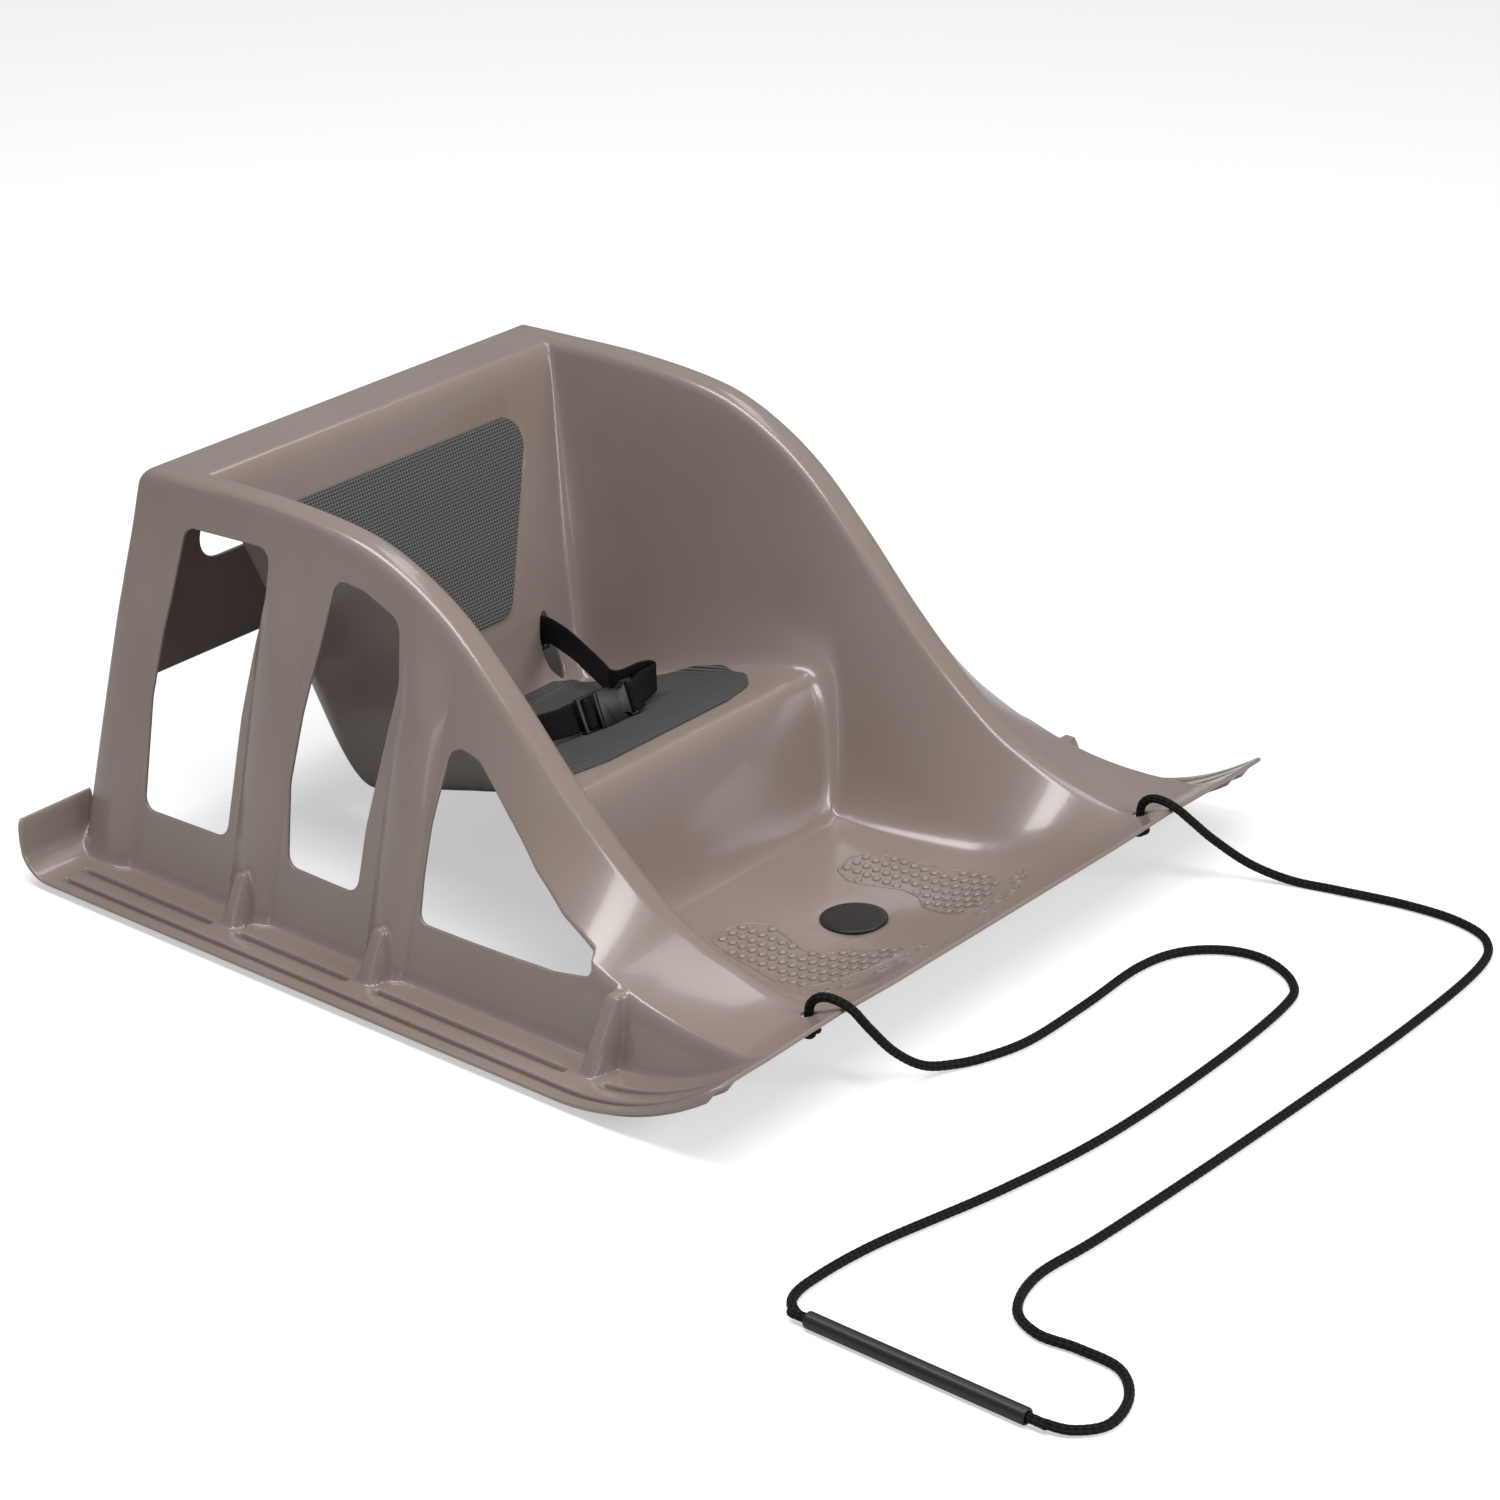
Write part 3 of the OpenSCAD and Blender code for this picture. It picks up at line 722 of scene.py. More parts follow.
def carried_frame(path: Array) -> tuple[Array, Array]:
    """Two directions square to a path that are carried along it without twist.

    Each step takes the last direction and removes its part along the new way; the running product
    of those small turns is what keeps the frame from spinning.
    """
    way = np.gradient(path, axis=0)
    way /= np.linalg.norm(way, axis=1, keepdims=True)
    first = np.empty_like(way)
    now = np.cross(way[0], [0.3, 0.2, 0.1])
    for i, w in enumerate(way):
        now = now - (now @ w) * w
        now = now / np.linalg.norm(now)
        first[i] = now
    return first, np.cross(way, first)


# The moulding

@dataclass
class Moulding:
    """The one-piece shell: tub, seat, footwell, walls and flange as one height over the plan."""

    wall: float = 3.0
    tub_h: float = 267.0
    foot_z: float = 8.0
    half_w: float = 290.0
    rail_in: float = 170.0
    rail_out: float = 174.5
    rail_r: float = 10.0
    front: float = -293.2
    rear: float = 292.0
    hole: tuple[float, float] = (173.0, -272.0)
    hole_r: float = 4.5
    grooves: tuple[float, float] = (262.0, 279.0)
    back_lean: float = math.radians(17.54)
    recess: float = 1.2
    edge: float = 1.4
    wall_top: float = 262.0
    wall_run: float = 57.5
    wall_foot: float = 240.2
    back_rail: float = 261.0
    badge_y: float = -171.6
    nose_y: float = -172.0
    nose_rate: float = 0.00325
    post_out: float = 7.0
    gusset_x: float = 262.0
    groove_depth: float = 5.0
    curl_y: float = 267.0
    curl_r: float = 22.0
    rail: Array = field(default_factory=lambda: np.array([
        [-292, 56], [-272, 48.5], [-250, 49], [-220, 55], [-190, 65], [-160, 79], [-120, 109], [-80, 146],
        [-40, 188], [0, 225], [40, 249], [80, 262], [150, 267], [225, 265], [290, 262]], float))
    posts: tuple[tuple[float, float], ...] = ((262.0, 22.0), (131.0, 20.0), (11.0, 18.0))
    gussets: tuple[tuple[float, float, float], ...] = (
        (131.0, 246.0, 32.0), (11.0, 246.0, 32.0), (-172.0, 236.0, 44.0))
    back_mat: Array = field(default_factory=lambda: np.array([
        [-112, 175], [-112, 152], [-60, 44], [60, 44], [112, 152], [112, 175]], float))

    def __post_init__(self) -> None:
        """Prepares the outlines that the height and the cuts use."""
        mat, room = self.back_mat, 2
        grown = np.stack([mat[:, 0] + np.sign(mat[:, 0]) * room,
                          mat[:, 1] + np.where(mat[:, 1] > 60, room, -room)], 1)
        self.back_seat = rounded_outline(grown, [18] * 6)
        self.windows = [
            rounded_outline([[159.5, 50.5], [235, 49], [238.3, 121], [234.7, 164], [225, 235], [150, 239],
                             [148.5, 210], [153, 180], [158, 130]], [9, 9, 40, 60, 9, 10, 30, 40, 60]),
            rounded_outline([[43, 48.5], [104, 49], [110, 100], [106, 145], [91, 235], [68, 233], [38, 221],
                             [32, 184], [37, 134], [42, 92]], [9, 9, 40, 60, 10, 16, 14, 30, 60, 60]),
            rounded_outline([[-11, 46.5], [-9.8, 75], [-10.2, 108], [-14, 158], [-34, 151], [-61, 124],
                             [-88, 98.5], [-115, 79.5], [-143, 66], [-150, 54], [-120, 49], [-56, 47]],
                            [7, 20, 30, 8, 9, 60, 60, 60, 5, 4, 30, 30])]
        self.tail_gap = rounded_outline([[-188, -60], [188, -60], [188, 112], [-188, 112]], [0, 0, 6, 6])
        self.grab = rounded_outline([[-132, 180], [132, 180], [132, 214], [-132, 214]], [16] * 4)
        self.plan = rounded_outline([[-80, self.front], [self.half_w, self.front], [self.half_w, self.rear],
                                     [224, self.rear], [224, 289.5], [-80, 289.5]], [0, 12, 5, 0, 0, 0])
        self.belt = rounded_outline([[91.5, -13.5], [94.5, -4], [95, 12], [94.5, 30], [91.5, 40], [86, 30.5],
                                     [82.4, 20.6], [81.4, 8.4], [83.4, -2.1]],
                                    [2, 6, 30, 8, 2, 12, 20, 20, 12])

    def nose(self, y: Array) -> Array:
        """The rise of the nose: a square law in front of nose_y."""
        return self.nose_rate * np.maximum(0.0, self.nose_y - y)**2

    def foot(self, y: Array) -> Array:
        """Height of the flange and of the footwell floor."""
        return self.foot_z + self.nose(y)

    def cap(self, y: Array) -> Array:
        """Height of the rail's top."""
        k = self.tub_h / 267
        return matched_curve(self.rail, y) * np.where(y > -60, k, 1 + (k - 1) * ease((y + 160) / 100))

    def centre(self, y: Array) -> Array:
        """Floor, riser, seat and back along the middle, joined with soft corners."""
        seat = smin(91.5 - 0.31 * y, 96.0, 6.0)
        back = BACK_Z + (y - BACK_Y) / 0.316
        return smax(self.foot(y), smax(smin(10 + (y + 68) * 3.2, seat, 30.0), back, 40.0), 26.0)

    def bulge(self, y: Array) -> Array:
        """How far the posts stand out of the wall: post_out times a half round with softened sides."""
        return self.post_out * np.max([np.maximum(1 - ((y - c) / w)**2, 0.0)**0.8 for c, w in self.posts], 0)

    def tub(self, ax: Array, y: Array) -> Array:
        """The tub: the basin inside the rails and the leaning walls outside them, whichever is lower."""
        c, f = self.cap(y), self.foot(y)
        span = c - f
        top = self.wall_top * self.tub_h / 267
        full = top - self.foot_z
        steep = full / self.wall_run
        inward = np.maximum(0.02, span / 52)
        outward = np.maximum(0.02, steep * (np.maximum(span, 0) / full)**1.81)
        middle = smin(self.centre(y), top, 20.0)
        inner = c - fall(self.rail_in - ax, self.rail_r, inward)
        depth = 0.5 * (c - np.maximum(middle, inner))
        soft = np.maximum(0.01, np.minimum(np.minimum(70, 0.28 * span), depth))
        basin = np.minimum(c, smax(middle, inner, soft))
        stand = self.bulge(y) * ease((ax - 184) / 26)
        side = smin(c - fall(ax - self.rail_out - stand, self.rail_r, outward),
                    f + (self.wall_foot + stand - ax) * steep,
                    np.maximum(0.01, 24 * (1 - outward / steep)))
        back = c - fall(y - self.back_rail, self.rail_r, 14 + 0 * y)
        outer = smin(side, back, np.maximum(0.01, np.minimum(110, 1.5 * (c - np.minimum(side, back)))))
        return np.minimum(basin, outer)

    def curl(self, y: Array) -> Array:
        """The flange's tail: a quarter roll and then nearly upright."""
        t = y - self.curl_y
        roll = self.curl_r - np.sqrt(np.maximum(self.curl_r**2 - np.clip(t, 0, 20)**2, 0))
        return np.where(t <= 0, 0.0, np.where(t < 20, roll, 12.8 + (t - 20) * 4.64))

    def gusset(self, ax: Array, y: Array) -> Array:
        """Height of the three wedges that prop the wall: sloping tops and leaning sides."""
        best = np.full(ax.shape, -FAR)
        for at, top_x, rise in self.gussets:
            f = self.foot(np.array(at))
            foot = self.gusset_x
            slope = np.minimum(f - 1.5 + (foot - ax) * (rise + 1.5) / (foot - top_x), f + rise)
            side = fall(np.abs(y - at) - 2.4, 2.6, rise / 6.2 + 0 * y)
            best = np.maximum(best, np.where(ax > top_x - 12, slope - side, -FAR))
        return best

    def groove(self, ax: Array, y: Array) -> Array:
        """Depth of the two runner grooves, the inner one broken at each gusset."""
        depth = np.zeros(ax.shape)
        for x in self.grooves:
            ends = [(self.front + 8, 262)] if x > 270 else [
                (self.front + 8, -186), (-158, 0), (22, 120), (142, 262)]
            cross = ease((2.7 - np.abs(ax - x)) / 1.2)
            run = np.max([np.minimum(ease((y - a) / 2.5), ease((b - y) / 2.5)) for a, b in ends], 0)
            depth = np.maximum(depth, self.groove_depth * cross * run)
        return depth

    def back_place(self, y: Array, z: Array) -> tuple[Array, Array]:
        """Height up the back plane, and distance out of it."""
        s, c = math.sin(self.back_lean), math.cos(self.back_lean)
        return (y - BACK_Y) * s + (z - BACK_Z) * c, (z - BACK_Z) * s - (y - BACK_Y) * c

    def from_back(self, x: Number, up: Number, out: Number) -> tuple[Number, Number, Number]:
        """Back plane coordinates (across, up the back, out of it) in sled coordinates."""
        s, c = math.sin(self.back_lean), math.cos(self.back_lean)
        return x, BACK_Y + up * s - out * c, BACK_Z + up * c + out * s

    def height(self, x: Array, y: Array) -> Array:
        """Height of the moulding's upper side over the plan, with its recesses and grooves."""
        ax = np.abs(x)
        f = self.foot(y)
        soft = np.maximum(0.01, np.minimum(14, 0.3 * (self.cap(y) - f)))
        tub = self.tub(ax, y)
        z = np.where(ax < 200, np.maximum(tub, f), smax(tub, f + self.curl(y) * ease((ax - 222) / 2), soft))
        z = np.where(ax > 200, smax(z, self.gusset(ax, y), 3.0), z)
        z = z - np.where(ax > 255, self.groove(ax, y), 0.0)
        # the back mat's recess: the surface is held below a plane sunk by the recess
        up, out = self.back_place(y, z)
        sunk = BACK_Z + ((y - BACK_Y) * math.cos(self.back_lean) - self.recess) / math.sin(self.back_lean)
        mask = ease(-outside(x, up, self.back_seat) / 0.9) * (np.abs(out) < 15)
        z = z - mask * np.maximum(z - sunk, 0)
        # the badge's seat
        return z - 0.9 * ease((22.6 - np.hypot(x, y - self.badge_y)) / 0.5)

    def spot(self, at: Array) -> Array:
        """The upper side's points over plan places."""
        return np.column_stack([at, self.height(at[:, 0], at[:, 1])])

    def normal(self, at: Array, e: float = 0.2) -> Array:
        """Direction out of the upper side, from heights a little to each side."""
        x, y = at.T
        n = np.stack([self.height(x - e, y) - self.height(x + e, y),
                      self.height(x, y - e) - self.height(x, y + e), np.full(x.shape, 2 * e)], 1)
        return n / np.linalg.norm(n, axis=1, keepdims=True)

    def fields(self) -> list[Callable[[Array], Array]]:
        """The distances whose zero lines bound the moulding, positive in the material."""
        def lifted(rule: Field) -> Callable[[Array], Array]:
            """Gives a rule the height that belongs to each plan place."""
            return lambda at: rule(at[:, 0], at[:, 1], self.height(at[:, 0], at[:, 1]))

        def hole(outline: Array) -> Field:
            """A window in the outer walls, drawn in Y and Z."""
            return lambda x, y, z: np.where(np.abs(x) > 176, outside(y, z, outline), FAR)

        found = [lifted(hole(w)) for w in self.windows]
        found.append(lifted(lambda x, y, z: np.where(y > 262, outside(x, z, self.tail_gap), FAR)))
        found.append(lifted(lambda x, y, z: np.where(y > 262, outside(x, z, self.grab), FAR)))
        found.append(lambda at: np.hypot(
            np.abs(at[:, 0]) - self.hole[0], at[:, 1] - self.hole[1]) - self.hole_r)
        found.append(lifted(lambda x, y, z: np.where(
            (y > 120) & (np.abs(self.back_place(y, z)[1]) < 18),
            outside(np.abs(x), self.back_place(y, z)[0], self.belt), FAR)))
        found.append(lambda at: np.minimum(FAR, -outside(np.abs(at[:, 0]), at[:, 1], self.plan, 900.0)))
        return found

    def grid(self) -> Sheet:
        """The plan's grid, closest where the surface turns fastest."""
        half = stations([(104, 8), (160.25, 2.4), (184.25, 1.15), (222, 1.8), (225, 1), (258.5, 1.6),
                         (259.6, 1.1), (264.6, 0.55), (276.2, 3.9), (281.8, 0.56), (self.half_w, 2.6)], 0.0)
        lines = stations([(-240, 4.5), (-187, 4.5), (-157, 1), (-112, 4.5), (-84, 4), (-36, 2.1), (-7, 3.6),
                          (0, 1), (3, 1), (19, 3), (22, 1), (29, 1.1), (36, 3.5), (105, 4.6), (118, 1.1),
                          (122, 1), (141, 3), (145, 1), (152, 1.1), (160, 2), (236, 3.4), (246, 2),
                          (261, 2.5), (272, 0.95), (289.6, 1.2), (self.rear, 1.2)], self.front)
        ends = np.concatenate([[c - w * s, c + w * s] for c, w in self.posts for s in (0.88, 0.96, 0.99)])
        lines = np.unique(np.round(np.concatenate([lines, ends[ends < 289]]), 3))
        lines = lines[np.concatenate([[True], np.diff(lines) > 0.12])]
        return Sheet(np.concatenate([-half[:0:-1], half]), lines)

    def build(self, finish: bpy.types.Material) -> bpy.types.Object:
        """Makes the whole moulding as one closed mesh with rounded edges.

        Near a cut the upper side sinks and the lower side rises as a quarter circle does, so both
        meet half way through the wall.
        """
        sheet = self.grid()
        fields = self.fields()
        for rule in fields:
            sheet.cut(rule, self.spot, self.edge)
        gap = np.clip(np.min([rule(sheet.at) for rule in fields], 0), 0.0, self.edge)
        half = self.wall / 2
        sink = quarter_sink(gap, self.edge, half)
        spot, out = self.spot(sheet.at), self.normal(sheet.at)
        points, faces = sheet.solid(spot - out * sink[:, None], spot - out * (self.wall - sink)[:, None])
        piece = Piece("moulded_shell", finish, Slot.SHELL, nodes=("body_shell",))
        self.slot_ribs(finish)
        return piece.join(piece.make(points, faces, weighted=True))

    def slot_ribs(self, finish: bpy.types.Material) -> None:
        """Makes the thin rib behind the outer side of each belt slot, on the back of the seat's back."""
        outline = rounded_outline([[-22, 0], [44, 0], [44, -11], [32, -15], [-12, -15], [-22, -9]],
                                  [0, 0, 4, 5, 5, 4])
        sheet = Sheet(np.arange(-24, 50, 3.0), np.arange(-17, 4, 3.0))
        rule = lambda at: np.minimum(40.0, -outside(at[:, 0], at[:, 1], outline, 60.0))
        rounding = 0.6
        sheet.cut(rule, lambda at: at, rounding, 2.0)
        up, out = sheet.at.T
        out = out - 1.6
        sink = quarter_sink(np.clip(rule(sheet.at), 0, rounding), rounding, rounding)
        _, y, z = self.from_back(0, up, out)
        points, faces = sheet.solid(np.stack([96.9 - sink, y, z], 1), np.stack([95.5 + sink, y, z], 1))
        both = np.concatenate([points, points * [-1, 1, 1]])
        piece = Piece("slot_ribs", finish, Slot.SHELL)
        piece.join(piece.make(both, np.concatenate([faces, faces[:, ::-1] + len(points)]), weighted=True))


@dataclass
class Treads:
    """The two grip patches in the footwell: rows of oval domes inside a raised line, and toe marks."""

    form: Moulding
    dome: tuple[float, float, float] = (3.6, 2.9, 1.8)
    pitch: tuple[float, float] = (10.0, 8.1)
    toe: tuple[float, float] = (7.0, 3.3)
    line_r: float = 1.1
    patch: Array = field(default_factory=lambda: np.array([
        [66, -116], [80, -120], [87, -140], [92, -167], [98, -190], [96, -210], [84, -225], [62, -236],
        [32, -243], [30, -226], [38, -199], [50, -186], [53, -171], [45, -152], [40, -136],
        [48, -121]], float))
    toes: Array = field(default_factory=lambda: np.array([
        [100, -228], [90, -237], [69, -247], [50, -249], [31, -251]], float))

    def outline(self) -> Array:
        """The patch's rounded outline on the +X side."""
        return rounded_outline(self.patch, [9] * len(self.patch), 5)

    def domes(self) -> tuple[Array, Array]:
        """Places and half widths of the domes: a grid kept inside the outline, and two small ones a toe."""
        x, y = np.meshgrid(np.arange(24, 110, self.pitch[0]), np.arange(-262, -100, self.pitch[1]))
        keep = outside(x.ravel(), y.ravel(), self.outline(), 60) < -1.9
        inner = np.stack([x.ravel(), y.ravel()], 1)[keep]
        pairs = np.concatenate([self.toes - [3.3, 0.6], self.toes + [3.3, 0.6]])
        at = np.concatenate([inner, pairs])
        size = np.concatenate([inner * 0 + self.dome[:2], pairs * 0 + [2.6, 1.9]])
        return np.concatenate([at, at * [-1, 1]]), np.concatenate([size, size])

    def line(self, name: str, loops: list[Array], radius: float, finish: bpy.types.Material) -> None:
        """Makes raised lines along closed loops on the floor, as one piece."""
        points, faces, first = [], [], 0
        a = np.linspace(0, 2 * np.pi, 9)[:-1]
        for loop in loops:
            closed = np.concatenate([loop, loop[:1]])
            path = smooth_path(np.column_stack([closed, 0 * closed[:, 0]]), 1.6)[:-1]
            way = np.roll(path, -1, 0) - np.roll(path, 1, 0)
            out = np.stack([way[:, 1], -way[:, 0], 0 * way[:, 0]], 1)
            out /= np.linalg.norm(out, axis=1, keepdims=True)
            rings = path[:, None] + radius * np.cos(a)[None, :, None] * out[:, None]
            rings[..., 2] = self.form.height(rings[..., 0].ravel(), rings[..., 1].ravel()).reshape(
                rings.shape[:2]) + 0.62 * radius * np.sin(a)
            quads = tube_faces(len(rings) + 1, 8) % (len(rings) * 8)
            points.append(rings.reshape(-1, 3))
            faces.append((quads if loop[:, 0].mean() < 0 else quads[:, ::-1]) + first)
            first += len(rings) * 8
        piece = Piece(name, finish, Slot.SHELL)
        piece.join(piece.make(np.concatenate(points), np.concatenate(faces)))

    def build(self, finish: bpy.types.Material) -> None:
        """Makes the domes as one mesh and the raised lines of each side as another."""
        at, size = self.domes()
        turn = np.linspace(0, 2 * np.pi, 13)[:-1]
        radius, rise = np.array([1.0, 0.96, 0.82, 0.5, 0.0]), np.array([-0.4, 0.42, 0.84, 0.98, 1.0])
        ring = np.stack([radius[:, None] * np.cos(turn), radius[:, None] * np.sin(turn)], 2)
        plan = at[:, None, None, :] + ring[None] * size[:, None, None, :]
        floor = self.form.height(plan[..., 0].ravel(), plan[..., 1].ravel()).reshape(plan.shape[:3])
        z = floor + rise[None, :, None] * self.dome[2] * (size[:, 0] / self.dome[0])[:, None, None]
        z[:, -1] = z[:, -1].mean(1, keepdims=True)
        points = np.concatenate([plan, z[..., None]], 3)
        faces = tube_faces(5, 12)
        faces = (faces[None] + (np.arange(len(at)) * 60)[:, None, None]).reshape(-1, 4)
        piece = Piece("tread_domes", finish, Slot.SHELL)
        piece.join(piece.make(points.reshape(-1, 3), faces))
        turn = np.linspace(0, 2 * np.pi, 17)[:-1]
        oval = np.stack([self.toe[0] * np.cos(turn), self.toe[1] * np.sin(turn)], 1)
        for side, name in ((1, "tread_line_left"), (-1, "tread_line_right")):
            mirrored = [loop * [side, 1] for loop in [self.outline()] + [oval + toe for toe in self.toes]]
            self.line(name, mirrored, self.line_r, finish)


@dataclass
class Mats:
    """Two thin foam mats with soft edges: one in its recess on the back, one over the moulded seat."""

    form: Moulding
    thick: float = 2.6
    fit: float = 0.3
    edge: float = 1.1
    seat: Array = field(default_factory=lambda: np.array([
        [-60, -18], [60, -18], [90, -12], [112, 8], [119.5, 33], [117.5, 58], [111, 84], [104, 130],
        [101, 151], [80, 155], [-80, 155], [-101, 151], [-104, 130], [-111, 84], [-117.5, 58],
        [-119.5, 33], [-112, 8], [-90, -12]], float))

    def mat(self, name: str, node: str, outline: Array, place: Callable[[Array, Array, Array], Array],
            finish: bpy.types.Material) -> None:
        """Makes one mat.

        Args:
            name: The piece's name.
            node: The CAD node that it stands for.
            outline: Its outline on its own plane or on the plan.
            place: Turns those coordinates and a height out of the surface into sled coordinates.
            finish: Its material.
        """
        low, high = outline.min(0) - 1, outline.max(0) + 1
        sheet = Sheet(np.arange(low[0], high[0] + 5, 5), np.arange(low[1], high[1] + 5, 5))
        rule = lambda at: np.minimum(40.0, -outside(at[:, 0], at[:, 1], outline, 500.0))
        sheet.cut(rule, lambda at: at, self.edge, 2.6)
        sink = quarter_sink(np.clip(rule(sheet.at), 0, self.edge), self.edge, self.edge)
        base = self.fit - self.form.recess
        x, s = sheet.at.T
        top = place(x, s, base + self.thick - sink)
        under = place(x, s, base + np.minimum(sink, 0.6))
        points, faces = sheet.solid(top, under)
        number = np.concatenate([np.arange(len(x)), np.setdiff1d(np.arange(len(x)), sheet.rim())])
        uv = (sheet.at[number] * MM)[faces].reshape(-1, 2)
        piece = Piece(name, finish, Slot.MAT, nodes=(node,))
        made = piece.join(piece.make(points, faces, uv, weighted=True))

    def build(self, cells: bpy.types.Material, ribs: bpy.types.Material) -> None:
        """Makes both mats: the back's lies on a plane, the seat's follows the moulded surface."""
        f = self.form
        self.mat("back_mat", "back_pad", rounded_outline(f.back_mat, [18] * 6, 9),
                 lambda x, up, n: np.stack(f.from_back(x, up, n), 1), cells)

        def on_shell(x: Array, y: Array, n: Array) -> Array:
            """Points at a height out of the moulded surface."""
            at = np.stack([x, y], 1)
            return f.spot(at) + f.normal(at) * n[:, None]

        radii = [30, 30, 26, 22, 22, 40, 40, 20, 9, 8, 8, 9, 20, 40, 40, 22, 22, 26]
        self.mat("seat_mat", "seat_pad", rounded_outline(self.seat, radii, 7), on_shell, ribs)


# The belt

@dataclass
class Belt:
    """Two webbing straps and the side-release buckle between them."""

    form: Moulding
    width: float = 20.0
    thick: float = 1.4
    at: tuple[float, float, float] = (6.0, 37.5, 95.0)
    turn: tuple[float, float, float] = (68.0, -2.8, -9.0)
    slot_x: float = 87.0
    slot_s: float = 25.0
    # directions of the webbing's width: at the buckle, and in the free runs
    WIDTH_WAYS: ClassVar = ([0.06, 0.37, 0.93], [0, 0.05, 1])

    def from_buckle(self, x: float, z: float) -> list[float]:
        """Buckle coordinates (along the belt, out of the front face) in sled coordinates."""
        a, b, c = (math.radians(t) for t in self.turn)
        y1, z1 = -z * math.sin(a), z * math.cos(a)
        x2, z2 = x * math.cos(b) + z1 * math.sin(b), z1 * math.cos(b) - x * math.sin(b)
        x3, y3 = x2 * math.cos(c) - y1 * math.sin(c), x2 * math.sin(c) + y1 * math.cos(c)
        return [self.at[0] + x3, self.at[1] + y3, self.at[2] + z2]

    def through_slot(self, x: float) -> list[tuple[list[float], list[float]]]:
        """The straight start of a strap, from behind the back out through its slot."""
        return [(list(self.form.from_back(x, self.slot_s, n)), [0, 0.301, 0.954]) for n in (-8, -2, 4)]

    def left(self) -> Array:
        """Middle points and width directions of the strap on +X, from its slot to its tail."""
        bk, (v, u) = self.from_buckle, self.WIDTH_WAYS
        rows = self.through_slot(self.slot_x)
        rows += [(p, u) for p in (
            [84.5, 152, 86.5], [78, 134, 86.5], [67, 112, 87], [55, 91, 89], [45, 75, 91], [39.5, 67, 92],
            [39, 61.5, 92.5], [43, 58.5, 92.8], [51, 57.5, 93], [58, 57, 93], [64, 55, 93], [66, 51, 93],
            [63.5, 47.3, 93.2])]
        rows += [([55, 44.8, 93.6], [0.03, 0.2, 0.97]), ([44, 42.6, 93.8], v)]
        rows += [(bk(x, z), v) for x, z in (
            (28, -7.7), (21, -7.8), (18.9, -7), (18, -4.8), (18, -3), (18.3, -1.4), (20, -0.3), (23, -0.3),
            (25.5, -1.6), (30, -4.2))]
        return np.array([p + d for p, d in rows], float)

    def right(self) -> Array:
        """Middle points and width directions of the strap on -X, from its slot round the ladder bar."""
        bk, (v, u) = self.from_buckle, self.WIDTH_WAYS
        rows = self.through_slot(-self.slot_x)
        rows += [(p, u) for p in ([-85, 140, 86.5], [-79, 112, 86.5], [-68, 84, 88], [-53, 62, 90])]
        rows += [([-36, 50, 92], [0.03, 0.2, 0.97])]
        rows += [(bk(x, z), v) for x, z in (
            (-28, -6.8), (-22, -8.2), (-19.4, -7.8), (-18.5, -4.6), (-17.8, -2.1), (-15, -1.2), (-12.4, -2.1),
            (-11.8, -4.6), (-12.2, -7.6), (-15, -9.6), (-20, -10.2), (-30, -10.4))]
        return np.array([p + d for p, d in rows], float)

    def band(self, piece: Piece, rows: Array) -> bpy.types.Object:
        """Sweeps the webbing's section, a flat band with round selvedges, along the rows."""
        path = smooth_path(rows, 1.6)
        across, out = side_of(path[:, :3], path[:, 3:])
        r = self.thick / 2
        flat = np.linspace(-self.width / 2 + r, self.width / 2 - r, 7)
        arc = np.radians([45, 0, -45])
        u = np.concatenate([flat, flat[-1] + r * np.cos(arc), flat[::-1], flat[0] - r * np.cos(arc)])
        n = np.concatenate([0 * flat + r, r * np.sin(arc), 0 * flat - r, -r * np.sin(arc)])
        rings = path[:, None, :3] + u[None, :, None] * across[:, None] + n[None, :, None] * out[:, None]
        length = distances(path[:, :3])
        points, faces, uv = capped_tube(rings, length * MM, np.append(u, u[0]) * MM)
        return piece.make(points, faces[:, ::-1], uv.reshape(-1, 4, 2)[:, ::-1].reshape(-1, 2))

    def rounded_copy(self, piece: Piece, width: float) -> bpy.types.Object:
        """Copies a CAD node, merges its triangles into flat faces and rounds its edges."""
        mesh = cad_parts[piece.nodes[0]].data.copy()
        mesh.name = piece.name
        made = placed(piece.name, mesh)
        mesh.materials.clear()
        mesh.materials.append(piece.finish)
        weld = made.modifiers.new("merge", "WELD")
        weld.merge_threshold = 0.00002
        flat = made.modifiers.new("flats", "DECIMATE")
        flat.decimate_type, flat.angle_limit = "DISSOLVE", math.radians(1.5)
        bevel = made.modifiers.new("edges", "BEVEL")
        bevel.width, bevel.segments, bevel.angle_limit = width * MM, 3, math.radians(35)
        bevel.use_clamp_overlap = True
        made.modifiers.new("shade", "WEIGHTED_NORMAL").keep_sharp = False
        graph = bpy.context.evaluated_depsgraph_get()
        done = bpy.data.meshes.new_from_object(made.evaluated_get(graph))
        made.modifiers.clear()
        made.data = done
        done.polygons.foreach_set("use_smooth", np.ones(len(done.polygons), bool))
        log.info("%s: %d faces", piece.name, len(done.polygons))
        return made

